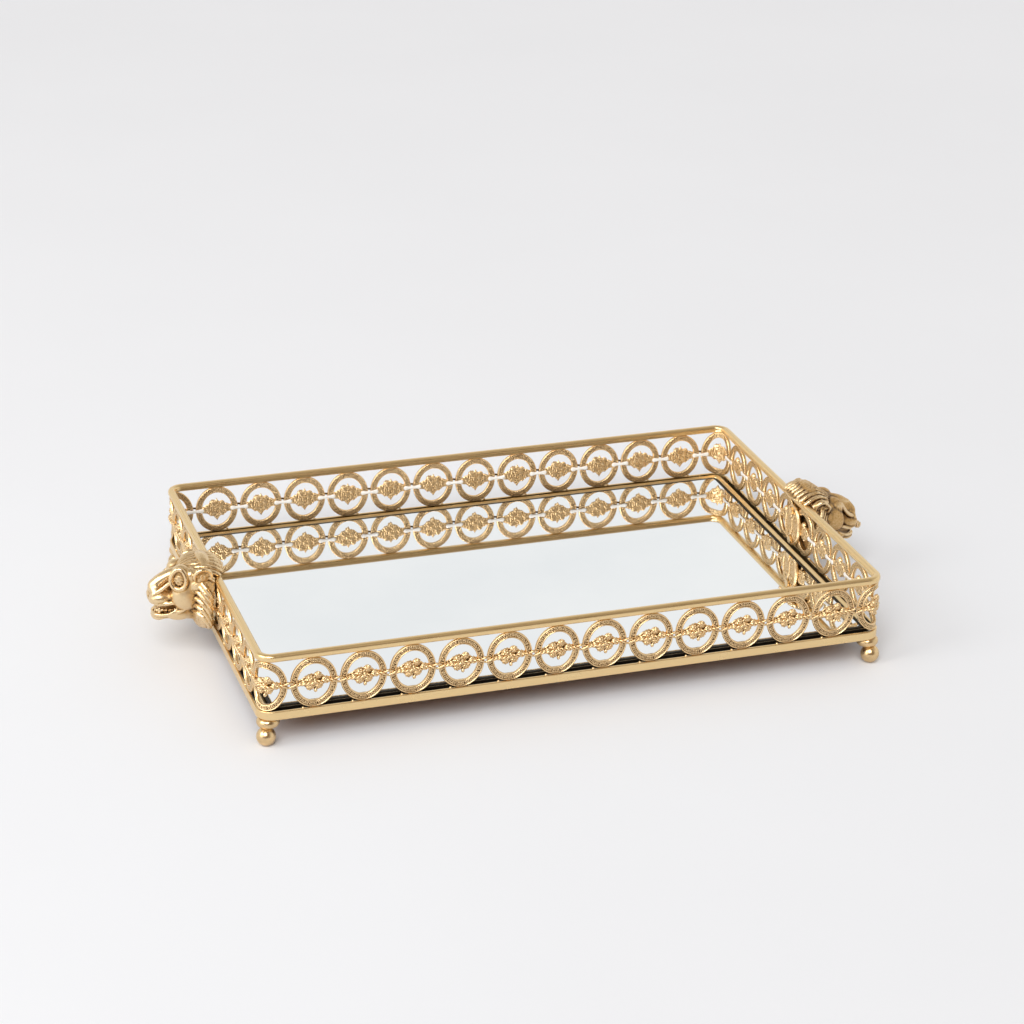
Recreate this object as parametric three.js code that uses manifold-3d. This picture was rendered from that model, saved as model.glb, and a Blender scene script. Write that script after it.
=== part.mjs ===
// Dresser vanity tray: a mirror in a gilt frame, with a gallery of oval medallions,
// four ball feet and a lion's head on each short side to lift it by.
// Millimetres, +Z up, the origin on the surface the feet stand on, under the middle of the tray.
// +X runs along the tray and -Y is its front.
import * as THREE from "three";
import { mergeVertices } from "three/addons/utils/BufferGeometryUtils.js";
import Module from "manifold-3d";

const wasm = await Module();
wasm.setup();

// Driving dimensions
const RAIL_LENGTH = 451; // between the centrelines of the top rail's two short sides
const RAIL_WIDTH = 301; // between the centrelines of its two long sides
const RAIL_DIAMETER = 5.5;
const RAIL_CENTRE_Z = 65.6;
const CORNER_RADIUS = 9; // of the top rail's centreline
const JOINT_GAP = 0.3; // what a solder or contact joint leaves between two solids

const BAND_BOTTOM_Z = 20;
const BAND_HEIGHT = 6.3;
const BAND_THICKNESS = 2;

const PAN_THICKNESS = 1;
const FELT_THICKNESS = 0.4;
const FELT_INSET = 1.8; // insets are in from the top rail's centreline
const BOARD_THICKNESS = 1.8;
const BOARD_INSET = 2;
const BOARD_CORNER_RADIUS = 20; // wide, so that the foot screws' heads stay clear
const MIRROR_THICKNESS = 2;
const GASKET_WIDTH = 2.2;
const GASKET_HEIGHT = 2.3;
const GASKET_CORNER_RADIUS = 4;
const MIRROR_CORNER_RADIUS = 2.5;
const LIP_THICKNESS = 3.4;
const LIP_INSET = 3.1; // to the lip's outer face
const LIP_CORNER_RADIUS = 5;
const LIP_TOP_Z = 27.2;

const MEDALLION_HALF_WIDTH = 16.2;
const MEDALLION_BAND = 4.8; // radial width of the oval ring
const MEDALLIONS_LONG = 12; // between the two corner medallions of a long side
const MEDALLIONS_SHORT = 8;
const GALLERY_THICKNESS = 2.4;
const GALLERY_OUTSET = 0.7; // from the rail's centreline out to the gallery's middle
const STEM_HALF_HEIGHT = 1.4; // of the bar that joins ring to ring and carries the rosettes
// Half outline of a rosette on its stem: distance along from the centre, and height.
const ROSETTE_OUTLINE = [[8.6, STEM_HALF_HEIGHT], [6, 6], [0, 9]];

const SCREW_RADIUS = 2;
const SCREW_HEAD_RADIUS = 3;
const SCREW_HEAD_HEIGHT = 1.8;
const SCREW_INSET = 5; // foot screw, in from the rail's centreline on both sides of a corner
const BALL_INSET = 3;
const BALL_RADIUS = 6.75;
const BALL_FLAT_RADIUS = 2;
const BALL_TOP_Z = 13;
const COLLAR_RADIUS = 8;
const FOOT_THREAD_DEPTH = 5;

const HEAD_BACK = RAIL_DIAMETER / 2 + 0.35; // the lion's back, out from the rail's centreline
const MANE_THICKNESS = 10;
const HANDLE_SCREW_SPREAD = 12; // above and below the middle of the gallery
const PLATE_HALF_WIDTH = 13;
const PLATE_HALF_HEIGHT = 16.5;
const PLATE_THICKNESS = 2;
const BEAD_RADIUS = 3;
const BEAD_OUTSET = 51.6;
const BEAD_Z = 38.5;
const BEAD_STEM_RADIUS = 0.9;
const BEAD_STEM_LENGTH = 6.5; // from the bead's middle towards the lip

// Worked out from the dimensions above
const BAND_TOP_Z = BAND_BOTTOM_Z + BAND_HEIGHT;
const BAND_OUTSET = RAIL_DIAMETER / 2;
const BAND_INNER_OUTSET = BAND_OUTSET - BAND_THICKNESS;
const FELT_Z = BAND_BOTTOM_Z + JOINT_GAP;
const PAN_Z = FELT_Z + FELT_THICKNESS + JOINT_GAP;
const BOARD_Z = PAN_Z + PAN_THICKNESS + JOINT_GAP;
const MIRROR_Z = BOARD_Z + BOARD_THICKNESS + JOINT_GAP;
const GALLERY_BOTTOM_Z = BAND_TOP_Z + JOINT_GAP;
const GALLERY_TOP_Z = RAIL_CENTRE_Z - RAIL_DIAMETER / 2 - JOINT_GAP;
const GALLERY_CENTRE_Z = (GALLERY_BOTTOM_Z + GALLERY_TOP_Z) / 2;
const MEDALLION_HALF_HEIGHT = (GALLERY_TOP_Z - GALLERY_BOTTOM_Z) / 2;
const GALLERY_RADIUS = CORNER_RADIUS + GALLERY_OUTSET;
const CORNER_HALF_ARC = (GALLERY_RADIUS * Math.PI) / 4;
const STRAIGHT_LONG = RAIL_LENGTH - 2 * CORNER_RADIUS;
const STRAIGHT_SHORT = RAIL_WIDTH - 2 * CORNER_RADIUS;
const PITCH_LONG = (STRAIGHT_LONG + 2 * CORNER_HALF_ARC) / (MEDALLIONS_LONG + 1);
const PITCH_SHORT = (STRAIGHT_SHORT + 2 * CORNER_HALF_ARC) / (MEDALLIONS_SHORT + 1);

// Finishes
const metal = (color, roughness) => new THREE.MeshStandardMaterial({ color, roughness, metalness: 1 });
const dull = (color) => new THREE.MeshStandardMaterial({ color, roughness: 0.9, metalness: 0 });
const satinGold = metal(0xc9a264, 0.32);
const antiqueGold = metal(0xb98f4e, 0.42);
const steel = metal(0xb9b4aa, 0.35);
const mirrorSilver = metal(0xe9edf0, 0.03);
const blackPaint = dull(0x15130f);
const blackRubber = dull(0x101010);
const brownFelt = dull(0x4a3020);

const tray = new THREE.Group();

function addMesh(name, geometry, material, parent = tray) {
  const mesh = new THREE.Mesh(geometry, material);
  mesh.name = name;
  parent.add(mesh);
  return mesh;
}

// Booleans: a closed three.js geometry to a manifold solid, and back.
function solidOf(geometry) {
  const bare = new THREE.BufferGeometry();
  bare.setAttribute("position", geometry.getAttribute("position"));
  if (geometry.index) bare.setIndex(geometry.index);
  const merged = mergeVertices(bare, 1e-4);
  return new wasm.Manifold(
    new wasm.Mesh({
      numProp: 3,
      vertProperties: new Float32Array(merged.attributes.position.array),
      triVerts: new Uint32Array(merged.index.array),
    }),
  );
}

function geometryOf(solid) {
  const { vertProperties, triVerts } = solid.getMesh();
  const geometry = new THREE.BufferGeometry();
  geometry.setAttribute("position", new THREE.BufferAttribute(vertProperties, 3));
  geometry.setIndex(new THREE.BufferAttribute(triVerts, 1));
  return geometry;
}

// A closed solid through sections of equal point count, joined end to end or closed into a loop.
function loft(sections, closed) {
  const sides = sections[0].length;
  const at = (i, j) => (i % sections.length) * sides + (j % sides);
  const index = [];
  const spans = closed ? sections.length : sections.length - 1;
  for (let i = 0; i < spans; i++) {
    for (let j = 0; j < sides; j++) {
      index.push(at(i, j), at(i, j + 1), at(i + 1, j + 1));
      index.push(at(i, j), at(i + 1, j + 1), at(i + 1, j));
    }
  }
  if (!closed) {
    const last = sections.length - 1;
    for (let j = 1; j < sides - 1; j++) {
      index.push(at(0, 0), at(0, j + 1), at(0, j));
      index.push(at(last, 0), at(last, j), at(last, j + 1));
    }
  }
  const geometry = new THREE.BufferGeometry().setFromPoints(sections.flat());
  geometry.setIndex(index);
  return geometry;
}

// A rectangle with round corners, grown by outset from the top rail's centreline.
function roundedRect(path, outset, radius = CORNER_RADIUS + outset) {
  const x = RAIL_LENGTH / 2 + outset;
  const y = RAIL_WIDTH / 2 + outset;
  path.moveTo(x, radius - y);
  path.absarc(x - radius, y - radius, radius, 0, Math.PI / 2);
  path.absarc(radius - x, y - radius, radius, Math.PI / 2, Math.PI);
  path.absarc(radius - x, radius - y, radius, Math.PI, 1.5 * Math.PI);
  path.absarc(x - radius, radius - y, radius, 1.5 * Math.PI, 2 * Math.PI);
  return path;
}

function extruded(shape, z, height, curveSegments = 2) {
  const geometry = new THREE.ExtrudeGeometry(shape, { depth: height, bevelEnabled: false, curveSegments });
  return geometry.translate(0, 0, z);
}

function plate(outset, radius, z, height) {
  return extruded(roundedRect(new THREE.Shape(), outset, radius), z, height);
}

function frame(outset, width, z, height, radius = CORNER_RADIUS + outset) {
  const shape = roundedRect(new THREE.Shape(), outset, radius);
  shape.holes.push(roundedRect(new THREE.Path(), outset - width, Math.max(radius - width, 1)));
  return extruded(shape, z, height);
}

function rod(radius, z, height, sides = 10) {
  return new THREE.CylinderGeometry(radius, radius, height, sides)
    .rotateX(Math.PI / 2)
    .translate(0, 0, z + height / 2);
}

// Each corner's side of X, side of Y, and quarter turns from the front right one.
const CORNERS = [
  ["front_left", -1, -1, -1],
  ["front_right", 1, -1, 0],
  ["back_right", 1, 1, 1],
  ["back_left", -1, 1, 2],
];

function cornerPoint(sideX, sideY, inset) {
  return [sideX * (RAIL_LENGTH / 2 - inset), sideY * (RAIL_WIDTH / 2 - inset)];
}

// Top rail: a round rod bent into a loop.
function topRail() {
  const sides = 10;
  const arcSteps = 3;
  const sections = [];
  const cornerX = RAIL_LENGTH / 2 - CORNER_RADIUS;
  const cornerY = RAIL_WIDTH / 2 - CORNER_RADIUS;
  const middles = [[cornerX, cornerY], [-cornerX, cornerY], [-cornerX, -cornerY], [cornerX, -cornerY]];
  middles.forEach(([x, y], quarter) => {
    for (let step = 0; step <= arcSteps; step++) {
      const turn = ((quarter + step / arcSteps) * Math.PI) / 2;
      const section = [];
      for (let k = 0; k < sides; k++) {
        const around = (k / sides) * 2 * Math.PI;
        const reach = CORNER_RADIUS + (RAIL_DIAMETER / 2) * Math.cos(around);
        const height = RAIL_CENTRE_Z + (RAIL_DIAMETER / 2) * Math.sin(around);
        section.push(new THREE.Vector3(x + reach * Math.cos(turn), y + reach * Math.sin(turn), height));
      }
      sections.push(section.reverse());
    }
  });
  return loft(sections, true);
}

// Base: outer band, felt, pan, board, gasket, mirror and the lip round it.
function pan() {
  let solid = solidOf(plate(BAND_INNER_OUTSET - JOINT_GAP, undefined, PAN_Z, PAN_THICKNESS));
  for (const [, sideX, sideY] of CORNERS) {
    const [x, y] = cornerPoint(sideX, sideY, SCREW_INSET);
    const hole = rod(SCREW_RADIUS + JOINT_GAP, PAN_Z - 1, PAN_THICKNESS + 2).translate(x, y, 0);
    solid = solid.subtract(solidOf(hole));
  }
  return geometryOf(solid);
}

const lipInner = LIP_INSET + LIP_THICKNESS;
const gasketOuter = lipInner + JOINT_GAP;
const mirrorEdge = gasketOuter + GASKET_WIDTH + JOINT_GAP;

addMesh("top_rail", topRail(), satinGold);
addMesh("bottom_rail", frame(BAND_OUTSET, BAND_THICKNESS, BAND_BOTTOM_Z, BAND_HEIGHT), satinGold);
addMesh("underside_felt", plate(-FELT_INSET, BOARD_CORNER_RADIUS, FELT_Z, FELT_THICKNESS), brownFelt);
addMesh("base_pan", pan(), blackPaint);
addMesh("backing_board", plate(-BOARD_INSET, BOARD_CORNER_RADIUS, BOARD_Z, BOARD_THICKNESS), blackPaint);
const lip = frame(-LIP_INSET, LIP_THICKNESS, MIRROR_Z, LIP_TOP_Z - MIRROR_Z, LIP_CORNER_RADIUS);
addMesh("mirror_lip", lip, satinGold);
const gasket = frame(-gasketOuter, GASKET_WIDTH, MIRROR_Z, GASKET_HEIGHT, GASKET_CORNER_RADIUS);
addMesh("mirror_gasket", gasket, blackRubber);
addMesh("mirror_glass", plate(-mirrorEdge, MIRROR_CORNER_RADIUS, MIRROR_Z, MIRROR_THICKNESS), mirrorSilver);

// Gallery: a straight strip is oval rings with their rosettes, strung on one bar.
function standing(shape, curveSegments) {
  const geometry = extruded(shape, -GALLERY_THICKNESS / 2, GALLERY_THICKNESS, curveSegments);
  return solidOf(geometry.rotateX(Math.PI / 2));
}

function galleryStrip(count, pitch) {
  const ring = new THREE.Shape();
  ring.absellipse(0, 0, MEDALLION_HALF_WIDTH, MEDALLION_HALF_HEIGHT, 0, 2 * Math.PI, false);
  const opening = new THREE.Path();
  const inside = [MEDALLION_HALF_WIDTH - MEDALLION_BAND, MEDALLION_HALF_HEIGHT - MEDALLION_BAND];
  opening.absellipse(0, 0, ...inside, 0, 2 * Math.PI, true);
  ring.holes.push(opening);
  const quarter = ROSETTE_OUTLINE.map(([along, up]) => new THREE.Vector2(along, up));
  const half = [...quarter, ...quarter.slice(0, -1).reverse().map(({ x, y }) => new THREE.Vector2(-x, y))];
  const rosette = new THREE.Shape([...half, ...half.map(({ x, y }) => new THREE.Vector2(-x, -y))]);
  const medallion = standing(ring, 7).add(standing(rosette, 1));
  const length = count * pitch - JOINT_GAP;
  let strip = solidOf(new THREE.BoxGeometry(length, GALLERY_THICKNESS, 2 * STEM_HALF_HEIGHT));
  for (let i = 0; i < count; i++) {
    strip = strip.add(medallion.translate([(i - (count - 1) / 2) * pitch, 0, 0]));
  }
  return geometryOf(strip);
}

const sideX = RAIL_LENGTH / 2 + GALLERY_OUTSET;
const sideY = RAIL_WIDTH / 2 + GALLERY_OUTSET;
for (const [name, x, y, turn, count, pitch] of [
  ["gallery_front", 0, -sideY, 0, MEDALLIONS_LONG, PITCH_LONG],
  ["gallery_back", 0, sideY, Math.PI, MEDALLIONS_LONG, PITCH_LONG],
  ["gallery_left", -sideX, 0, -Math.PI / 2, MEDALLIONS_SHORT, PITCH_SHORT],
  ["gallery_right", sideX, 0, Math.PI / 2, MEDALLIONS_SHORT, PITCH_SHORT],
]) {
  const strip = addMesh(name, galleryStrip(count, pitch), antiqueGold);
  strip.position.set(x, y, GALLERY_CENTRE_Z);
  strip.rotation.z = turn;
}

// A corner medallion is the same oval, bent round the front right corner's middle.
function bent(along, up, out) {
  const turn = THREE.MathUtils.clamp(along / GALLERY_RADIUS, -Math.PI / 4, Math.PI / 4);
  const rest = along - turn * GALLERY_RADIUS;
  const facing = turn - Math.PI / 4;
  const reach = GALLERY_RADIUS + out;
  return new THREE.Vector3(
    reach * Math.cos(facing) - rest * Math.sin(facing),
    reach * Math.sin(facing) + rest * Math.cos(facing),
    up,
  );
}

// The bar and rosette are a little thinner than the ring where the three are bent together.
function bentSection([along, up]) {
  const half = GALLERY_THICKNESS / 2 - 0.3;
  return [
    bent(along, -up, -half),
    bent(along, up, -half),
    bent(along, up, half),
    bent(along, -up, half),
  ];
}

function cornerMedallion(before, after) {
  const half = GALLERY_THICKNESS / 2;
  const steps = 16;
  const ring = [];
  for (let i = 0; i < steps; i++) {
    const angle = (i / steps) * 2 * Math.PI;
    const point = (shrink, out) =>
      bent(
        (MEDALLION_HALF_WIDTH - shrink) * Math.cos(angle),
        (MEDALLION_HALF_HEIGHT - shrink) * Math.sin(angle),
        out,
      );
    ring.push([point(0, half), point(0, -half), point(MEDALLION_BAND, -half), point(MEDALLION_BAND, half)]);
  }
  const bar = [
    [JOINT_GAP / 2 - before, STEM_HALF_HEIGHT],
    ...ROSETTE_OUTLINE.map(([along, up]) => [-along, up]),
    ...ROSETTE_OUTLINE.slice(0, -1).reverse(),
    [after - JOINT_GAP / 2, STEM_HALF_HEIGHT],
  ];
  return geometryOf(solidOf(loft(ring, true)).add(solidOf(loft(bar.map(bentSection), false))));
}

CORNERS.forEach(([name, sideOfX, sideOfY, quarterTurns]) => {
  const longFirst = sideOfX * sideOfY < 0;
  const stubs = longFirst ? [PITCH_LONG / 2, PITCH_SHORT / 2] : [PITCH_SHORT / 2, PITCH_LONG / 2];
  const medallion = addMesh("corner_medallion_" + name, cornerMedallion(...stubs), antiqueGold);
  medallion.position.set(
    sideOfX * (RAIL_LENGTH / 2 - CORNER_RADIUS),
    sideOfY * (RAIL_WIDTH / 2 - CORNER_RADIUS),
    GALLERY_CENTRE_Z,
  );
  medallion.rotation.z = (quarterTurns * Math.PI) / 2;
});

// Feet: a collar under the corner, a ball below and a screw that holds both to the pan.
function footCollar() {
  const top = BAND_BOTTOM_Z - JOINT_GAP;
  const bottom = BALL_TOP_Z + JOINT_GAP;
  const bore = SCREW_RADIUS + JOINT_GAP;
  const profile = [
    [bore, bottom],
    [COLLAR_RADIUS - 3, bottom],
    [COLLAR_RADIUS, bottom + 2.4],
    [COLLAR_RADIUS, top - 1.8],
    [COLLAR_RADIUS - 1.2, top],
    [bore, top],
    [bore, bottom],
  ];
  return new THREE.LatheGeometry(profile.map(([x, y]) => new THREE.Vector2(x, y)), 14).rotateX(Math.PI / 2);
}

// The ball is tapped off its middle, because it stands a little outside the collar.
function footBall(screwOffsetX, screwOffsetY) {
  const arc = [];
  const from = Math.asin(BALL_FLAT_RADIUS / BALL_RADIUS);
  const drop = BALL_RADIUS * (1 - Math.cos(from));
  const centre = BALL_RADIUS - drop;
  const to = Math.acos((centre - BALL_TOP_Z) / BALL_RADIUS);
  const steps = 7;
  for (let i = 0; i <= steps; i++) {
    const angle = from + ((to - from) * i) / steps;
    arc.push(new THREE.Vector2(BALL_RADIUS * Math.sin(angle), centre - BALL_RADIUS * Math.cos(angle)));
  }
  const profile = [new THREE.Vector2(0, 0), ...arc, new THREE.Vector2(0, BALL_TOP_Z)];
  const ball = new THREE.LatheGeometry(profile, 16).rotateX(Math.PI / 2);
  const depth = FOOT_THREAD_DEPTH + JOINT_GAP;
  const hole = rod(SCREW_RADIUS + JOINT_GAP, BALL_TOP_Z - depth, depth + 3);
  hole.translate(screwOffsetX, screwOffsetY, 0);
  return geometryOf(solidOf(ball).subtract(solidOf(hole)));
}

// A pan head screw standing on its head's underside at height 0, its shank going down.
function screw(length) {
  const head = SCREW_HEAD_HEIGHT;
  const profile = [
    [0, -length],
    [SCREW_RADIUS, -length],
    [SCREW_RADIUS, 0],
    [SCREW_HEAD_RADIUS, 0],
    [SCREW_HEAD_RADIUS, head],
    [0, head],
  ];
  return new THREE.LatheGeometry(profile.map(([x, y]) => new THREE.Vector2(x, y)), 10).rotateX(Math.PI / 2);
}

const screwSeatZ = PAN_Z + PAN_THICKNESS + JOINT_GAP;
for (const [name, sideOfX, sideOfY] of CORNERS) {
  const [screwX, screwY] = cornerPoint(sideOfX, sideOfY, SCREW_INSET);
  const [ballX, ballY] = cornerPoint(sideOfX, sideOfY, BALL_INSET);
  addMesh("foot_collar_" + name, footCollar(), satinGold).position.set(screwX, screwY, 0);
  const ball = footBall(screwX - ballX, screwY - ballY);
  addMesh("foot_ball_" + name, ball, satinGold).position.set(ballX, ballY, 0);
  const shank = screwSeatZ - (BALL_TOP_Z - FOOT_THREAD_DEPTH);
  addMesh("foot_screw_" + name, screw(shank), steel).position.set(screwX, screwY, screwSeatZ);
}

// Handles. Each is modelled facing +X from the rail's centreline and turned to its side.
// The head is a hollow casting, open at the back, with a solid boss for each screw.
function ellipsoid(x, y, z, radiusX, radiusY, radiusZ, across = 14, down = 8) {
  const ball = new THREE.SphereGeometry(1, across, down).scale(radiusX, radiusY, radiusZ);
  return solidOf(ball.translate(x, y, z));
}

function mane() {
  const top = GALLERY_CENTRE_Z + 32.5;
  const bottom = GALLERY_CENTRE_Z - 23.5;
  const shape = new THREE.Shape();
  shape.moveTo(0, bottom);
  shape.bezierCurveTo(13, bottom + 5, 29, bottom + 21, 30, bottom + 38);
  shape.bezierCurveTo(31, top - 9, 17, top, 0, top);
  shape.bezierCurveTo(-17, top, -31, top - 9, -30, bottom + 38);
  shape.bezierCurveTo(-29, bottom + 21, -13, bottom + 5, 0, bottom);
  const geometry = extruded(shape, 0, MANE_THICKNESS, 4);
  geometry.rotateX(Math.PI / 2);
  geometry.rotateZ(Math.PI / 2);
  return solidOf(geometry.translate(HEAD_BACK, 0, 0));
}

// A rod along X, out from the rail's centreline.
function crossRod(radius, from, length, z, sides = 10) {
  return new THREE.CylinderGeometry(radius, radius, length, sides)
    .rotateZ(Math.PI / 2)
    .translate(from + length / 2, 0, z);
}

const screwHeights = [1, -1].map((side) => GALLERY_CENTRE_Z + side * HANDLE_SCREW_SPREAD);
const HANDLE_SCREW_DEPTH = 9; // into the casting
const CREST_BOTTOM_Z = RAIL_CENTRE_Z + RAIL_DIAMETER / 2 + JOINT_GAP; // the mane's crest lies over the rail

function lionHead() {
  const skull = ellipsoid(16, 0, 57.5, 18, 19.5, 19.5);
  const cheeks = ellipsoid(18, 0, 46, 16, 20, 16);
  const muzzle = ellipsoid(35, 0, 49, 14, 12.5, 11);
  const jaw = ellipsoid(31, 0, 36, 14, 9.5, 6.5);
  const ears = [1, -1].map((side) => ellipsoid(13, side * 21, 70, 5, 6.5, 7, 8, 6));
  const crest = ellipsoid(8, 0, 69, 14, 25, 10);
  const lobes = [mane(), skull, cheeks, muzzle, jaw, crest, ...ears];
  let casting = lobes.reduce((whole, lobe) => whole.add(lobe));
  let hollow = ellipsoid(10, 0, GALLERY_CENTRE_Z + 4, 19, 15.5, 24, 10, 6);
  const thread = SCREW_RADIUS + JOINT_GAP;
  for (const z of screwHeights) hollow = hollow.subtract(solidOf(crossRod(5, HEAD_BACK - 5, 40, z, 8)));
  casting = casting.subtract(hollow);
  for (const z of screwHeights) {
    const drilled = 5 + HEAD_BACK + HANDLE_SCREW_DEPTH + JOINT_GAP;
    casting = casting.subtract(solidOf(crossRod(thread, -5, drilled, z)));
  }
  const behind = new THREE.BoxGeometry(60, 200, 200).translate(HEAD_BACK - 30, 0, CREST_BOTTOM_Z - 100);
  return geometryOf(casting.subtract(solidOf(behind)));
}

const plateFace = GALLERY_OUTSET - GALLERY_THICKNESS / 2 - JOINT_GAP; // against the back of the gallery

function handlePlate() {
  const shape = new THREE.Shape();
  shape.absellipse(0, 0, PLATE_HALF_WIDTH, PLATE_HALF_HEIGHT, 0, 2 * Math.PI);
  const geometry = extruded(shape, 0, PLATE_THICKNESS, 8).rotateX(Math.PI / 2).rotateZ(Math.PI / 2);
  let solid = solidOf(geometry.translate(plateFace - PLATE_THICKNESS, 0, GALLERY_CENTRE_Z));
  for (const z of screwHeights) {
    solid = solid.subtract(solidOf(crossRod(SCREW_RADIUS + JOINT_GAP, plateFace - 5, 8, z)));
  }
  return geometryOf(solid);
}

for (const [side, turn] of [["right", 0], ["left", Math.PI]]) {
  const handle = new THREE.Group();
  handle.position.x = turn ? -RAIL_LENGTH / 2 : RAIL_LENGTH / 2;
  handle.rotation.z = turn;
  tray.add(handle);
  addMesh("lion_head_" + side, lionHead(), antiqueGold, handle);
  addMesh("handle_plate_" + side, handlePlate(), antiqueGold, handle);
  const seat = plateFace - PLATE_THICKNESS - JOINT_GAP;
  ["upper", "lower"].forEach((level, i) => {
    const fastener = screw(HEAD_BACK + HANDLE_SCREW_DEPTH - seat).rotateY(-Math.PI / 2);
    const mesh = addMesh("handle_screw_" + side + "_" + level, fastener, steel, handle);
    mesh.position.set(seat, 0, screwHeights[i]);
  });
  if (side === "right") {
    const ball = ellipsoid(BEAD_OUTSET, 0, BEAD_Z, BEAD_RADIUS, BEAD_RADIUS, BEAD_RADIUS, 10, 6);
    const stem = crossRod(BEAD_STEM_RADIUS, BEAD_OUTSET - BEAD_STEM_LENGTH, BEAD_STEM_LENGTH, BEAD_Z, 6);
    addMesh("lip_bead_right", geometryOf(ball.add(solidOf(stem))), antiqueGold, handle);
  }
}

export default tray;
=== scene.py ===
"""Dresser vanity tray: a mirror in a gilt base, with a filigree gallery, ball feet and lion's head handles.

Run as a script in Blender 4.5. It builds the tray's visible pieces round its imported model, and a stage.
"""

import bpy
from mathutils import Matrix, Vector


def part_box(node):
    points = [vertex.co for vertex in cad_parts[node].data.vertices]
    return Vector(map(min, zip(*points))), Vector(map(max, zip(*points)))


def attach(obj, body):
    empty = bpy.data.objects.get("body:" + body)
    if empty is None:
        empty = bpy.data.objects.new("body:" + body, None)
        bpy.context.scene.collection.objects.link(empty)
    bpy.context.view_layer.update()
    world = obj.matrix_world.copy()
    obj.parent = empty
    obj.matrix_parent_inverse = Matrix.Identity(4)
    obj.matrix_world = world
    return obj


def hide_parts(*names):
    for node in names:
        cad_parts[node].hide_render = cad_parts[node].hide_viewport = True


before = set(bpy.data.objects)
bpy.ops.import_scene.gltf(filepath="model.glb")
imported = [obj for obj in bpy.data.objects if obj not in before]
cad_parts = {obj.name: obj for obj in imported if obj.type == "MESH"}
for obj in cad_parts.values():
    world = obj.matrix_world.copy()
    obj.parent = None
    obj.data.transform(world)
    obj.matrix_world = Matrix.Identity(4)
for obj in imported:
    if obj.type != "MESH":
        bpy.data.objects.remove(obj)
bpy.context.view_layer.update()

import math
from collections import namedtuple
from types import SimpleNamespace

import bpy
import numpy as np
from bpy.props import FloatProperty, FloatVectorProperty, IntProperty, PointerProperty
from mathutils import Matrix, Vector

bl_info = {
    "name": "Dresser vanity tray",
    "version": (1, 0, 0),
    "blender": (4, 5, 0),
    "location": "3D View > Sidebar > Tray",
    "description": "Builds a mirror tray with a filigree gallery and lion's head handles",
    "category": "Add Mesh",
}

MM = 0.001  # every length below is in millimetres until a mesh is made
UP = np.array([0.0, 0.0, 1.0])
SIDES = {  # name: direction along the side, direction out of it
    "front": (np.array([1.0, 0.0, 0.0]), np.array([0.0, -1.0, 0.0])),
    "right": (np.array([0.0, 1.0, 0.0]), np.array([1.0, 0.0, 0.0])),
    "back": (np.array([-1.0, 0.0, 0.0]), np.array([0.0, 1.0, 0.0])),
    "left": (np.array([0.0, -1.0, 0.0]), np.array([-1.0, 0.0, 0.0])),
}
CORNERS = {  # name: side of X, side of Y, angle that its middle faces
    "front_left": (-1, -1, -0.75 * math.pi),
    "front_right": (1, -1, -0.25 * math.pi),
    "back_right": (1, 1, 0.25 * math.pi),
    "back_left": (-1, 1, 0.75 * math.pi),
}


def node_box(name):
    """A CAD node's lowest and highest corners, in millimetres."""
    low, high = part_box(name)
    return np.array(low) / MM, np.array(high) / MM


def linear(hex_colour):
    """An sRGB hex colour as linear red, green and blue."""
    parts = [int(hex_colour[i : i + 2], 16) / 255 for i in (1, 3, 5)]
    return tuple(c / 12.92 if c <= 0.04045 else ((c + 0.055) / 1.055) ** 2.4 for c in parts)


def colour_property(name, description, hex_colour):
    return FloatVectorProperty(
        name=name, description=description, subtype="COLOR", size=3, min=0, max=1, default=linear(hex_colour)
    )


def length_property(name, description, millimetres):
    return FloatProperty(
        name=name, description=description, default=millimetres * MM, min=0.1 * MM, precision=5, unit="LENGTH"
    )


# Places that the frame gives
RAIL_LOW, RAIL_HIGH = node_box("top_rail")
BAND_LOW, BAND_HIGH = node_box("bottom_rail")
STRIP_LOW, STRIP_HIGH = node_box("gallery_front")
RAIL_Z = (RAIL_LOW[2] + RAIL_HIGH[2]) / 2
GALLERY_Z = (BAND_HIGH[2] + RAIL_LOW[2]) / 2
GALLERY_HALF_HEIGHT = (RAIL_LOW[2] - BAND_HIGH[2]) / 2
GALLERY_DEPTH = STRIP_HIGH[1] - STRIP_LOW[1]
JOINT_GAP = 0.3  # what a solder joint leaves between two of the frame's solids


class TraySizes(bpy.types.PropertyGroup):
    """Sizes of the tray's detail."""

    rail_diameter: length_property("Rail diameter", "Thickness of the top rail", 5.5)
    corner_radius: length_property("Corner radius", "Bend of the top rail's centreline", 9.0)
    ring_half_width: length_property("Ring half width", "Half the width of an oval medallion", 16.3)
    ring_band: length_property("Ring band", "Radial width of a medallion's ring", 4.8)
    grain: length_property("Grain", "Diameter of the granulation's beads", 1.25)
    rope_radius: length_property("Rope radius", "Radius of one strand of the twisted wire", 0.8)
    sculpt_voxel: length_property("Sculpt detail", "Finest size kept in the lions' heads", 0.5)
    rings_long: IntProperty(name="Long side's rings", description="Medallions between corners", default=12)
    rings_short: IntProperty(name="Short side's rings", description="Medallions between corners", default=8)


class TrayColours(bpy.types.PropertyGroup):
    """Colours of the tray's finishes."""

    rail: colour_property("Rail", "Satin gilt of the rails", "#E8CB97")
    casting: colour_property("Casting", "Gilt of the gallery", "#E4C79A")
    lion: colour_property("Lion", "Gilt of the lions' heads", "#E6CBA0")
    foot: colour_property("Foot", "Gilt of the feet", "#E4C595")
    patina: colour_property("Patina", "Brown in the castings' recesses", "#4A2C14")
    link: colour_property("Link", "White of the flat links, as a painted highlight", "#F7F6F2")
    felt: colour_property("Felt", "Underside of the tray", "#7C4A26")
    # This black is also the painted shade on the mirror lip's crest and outer face.
    black: colour_property("Black", "Paint, board and gasket", "#17140F")
    floor: colour_property("Floor", "Table that the tray stands on", "#EEF0F3")


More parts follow.
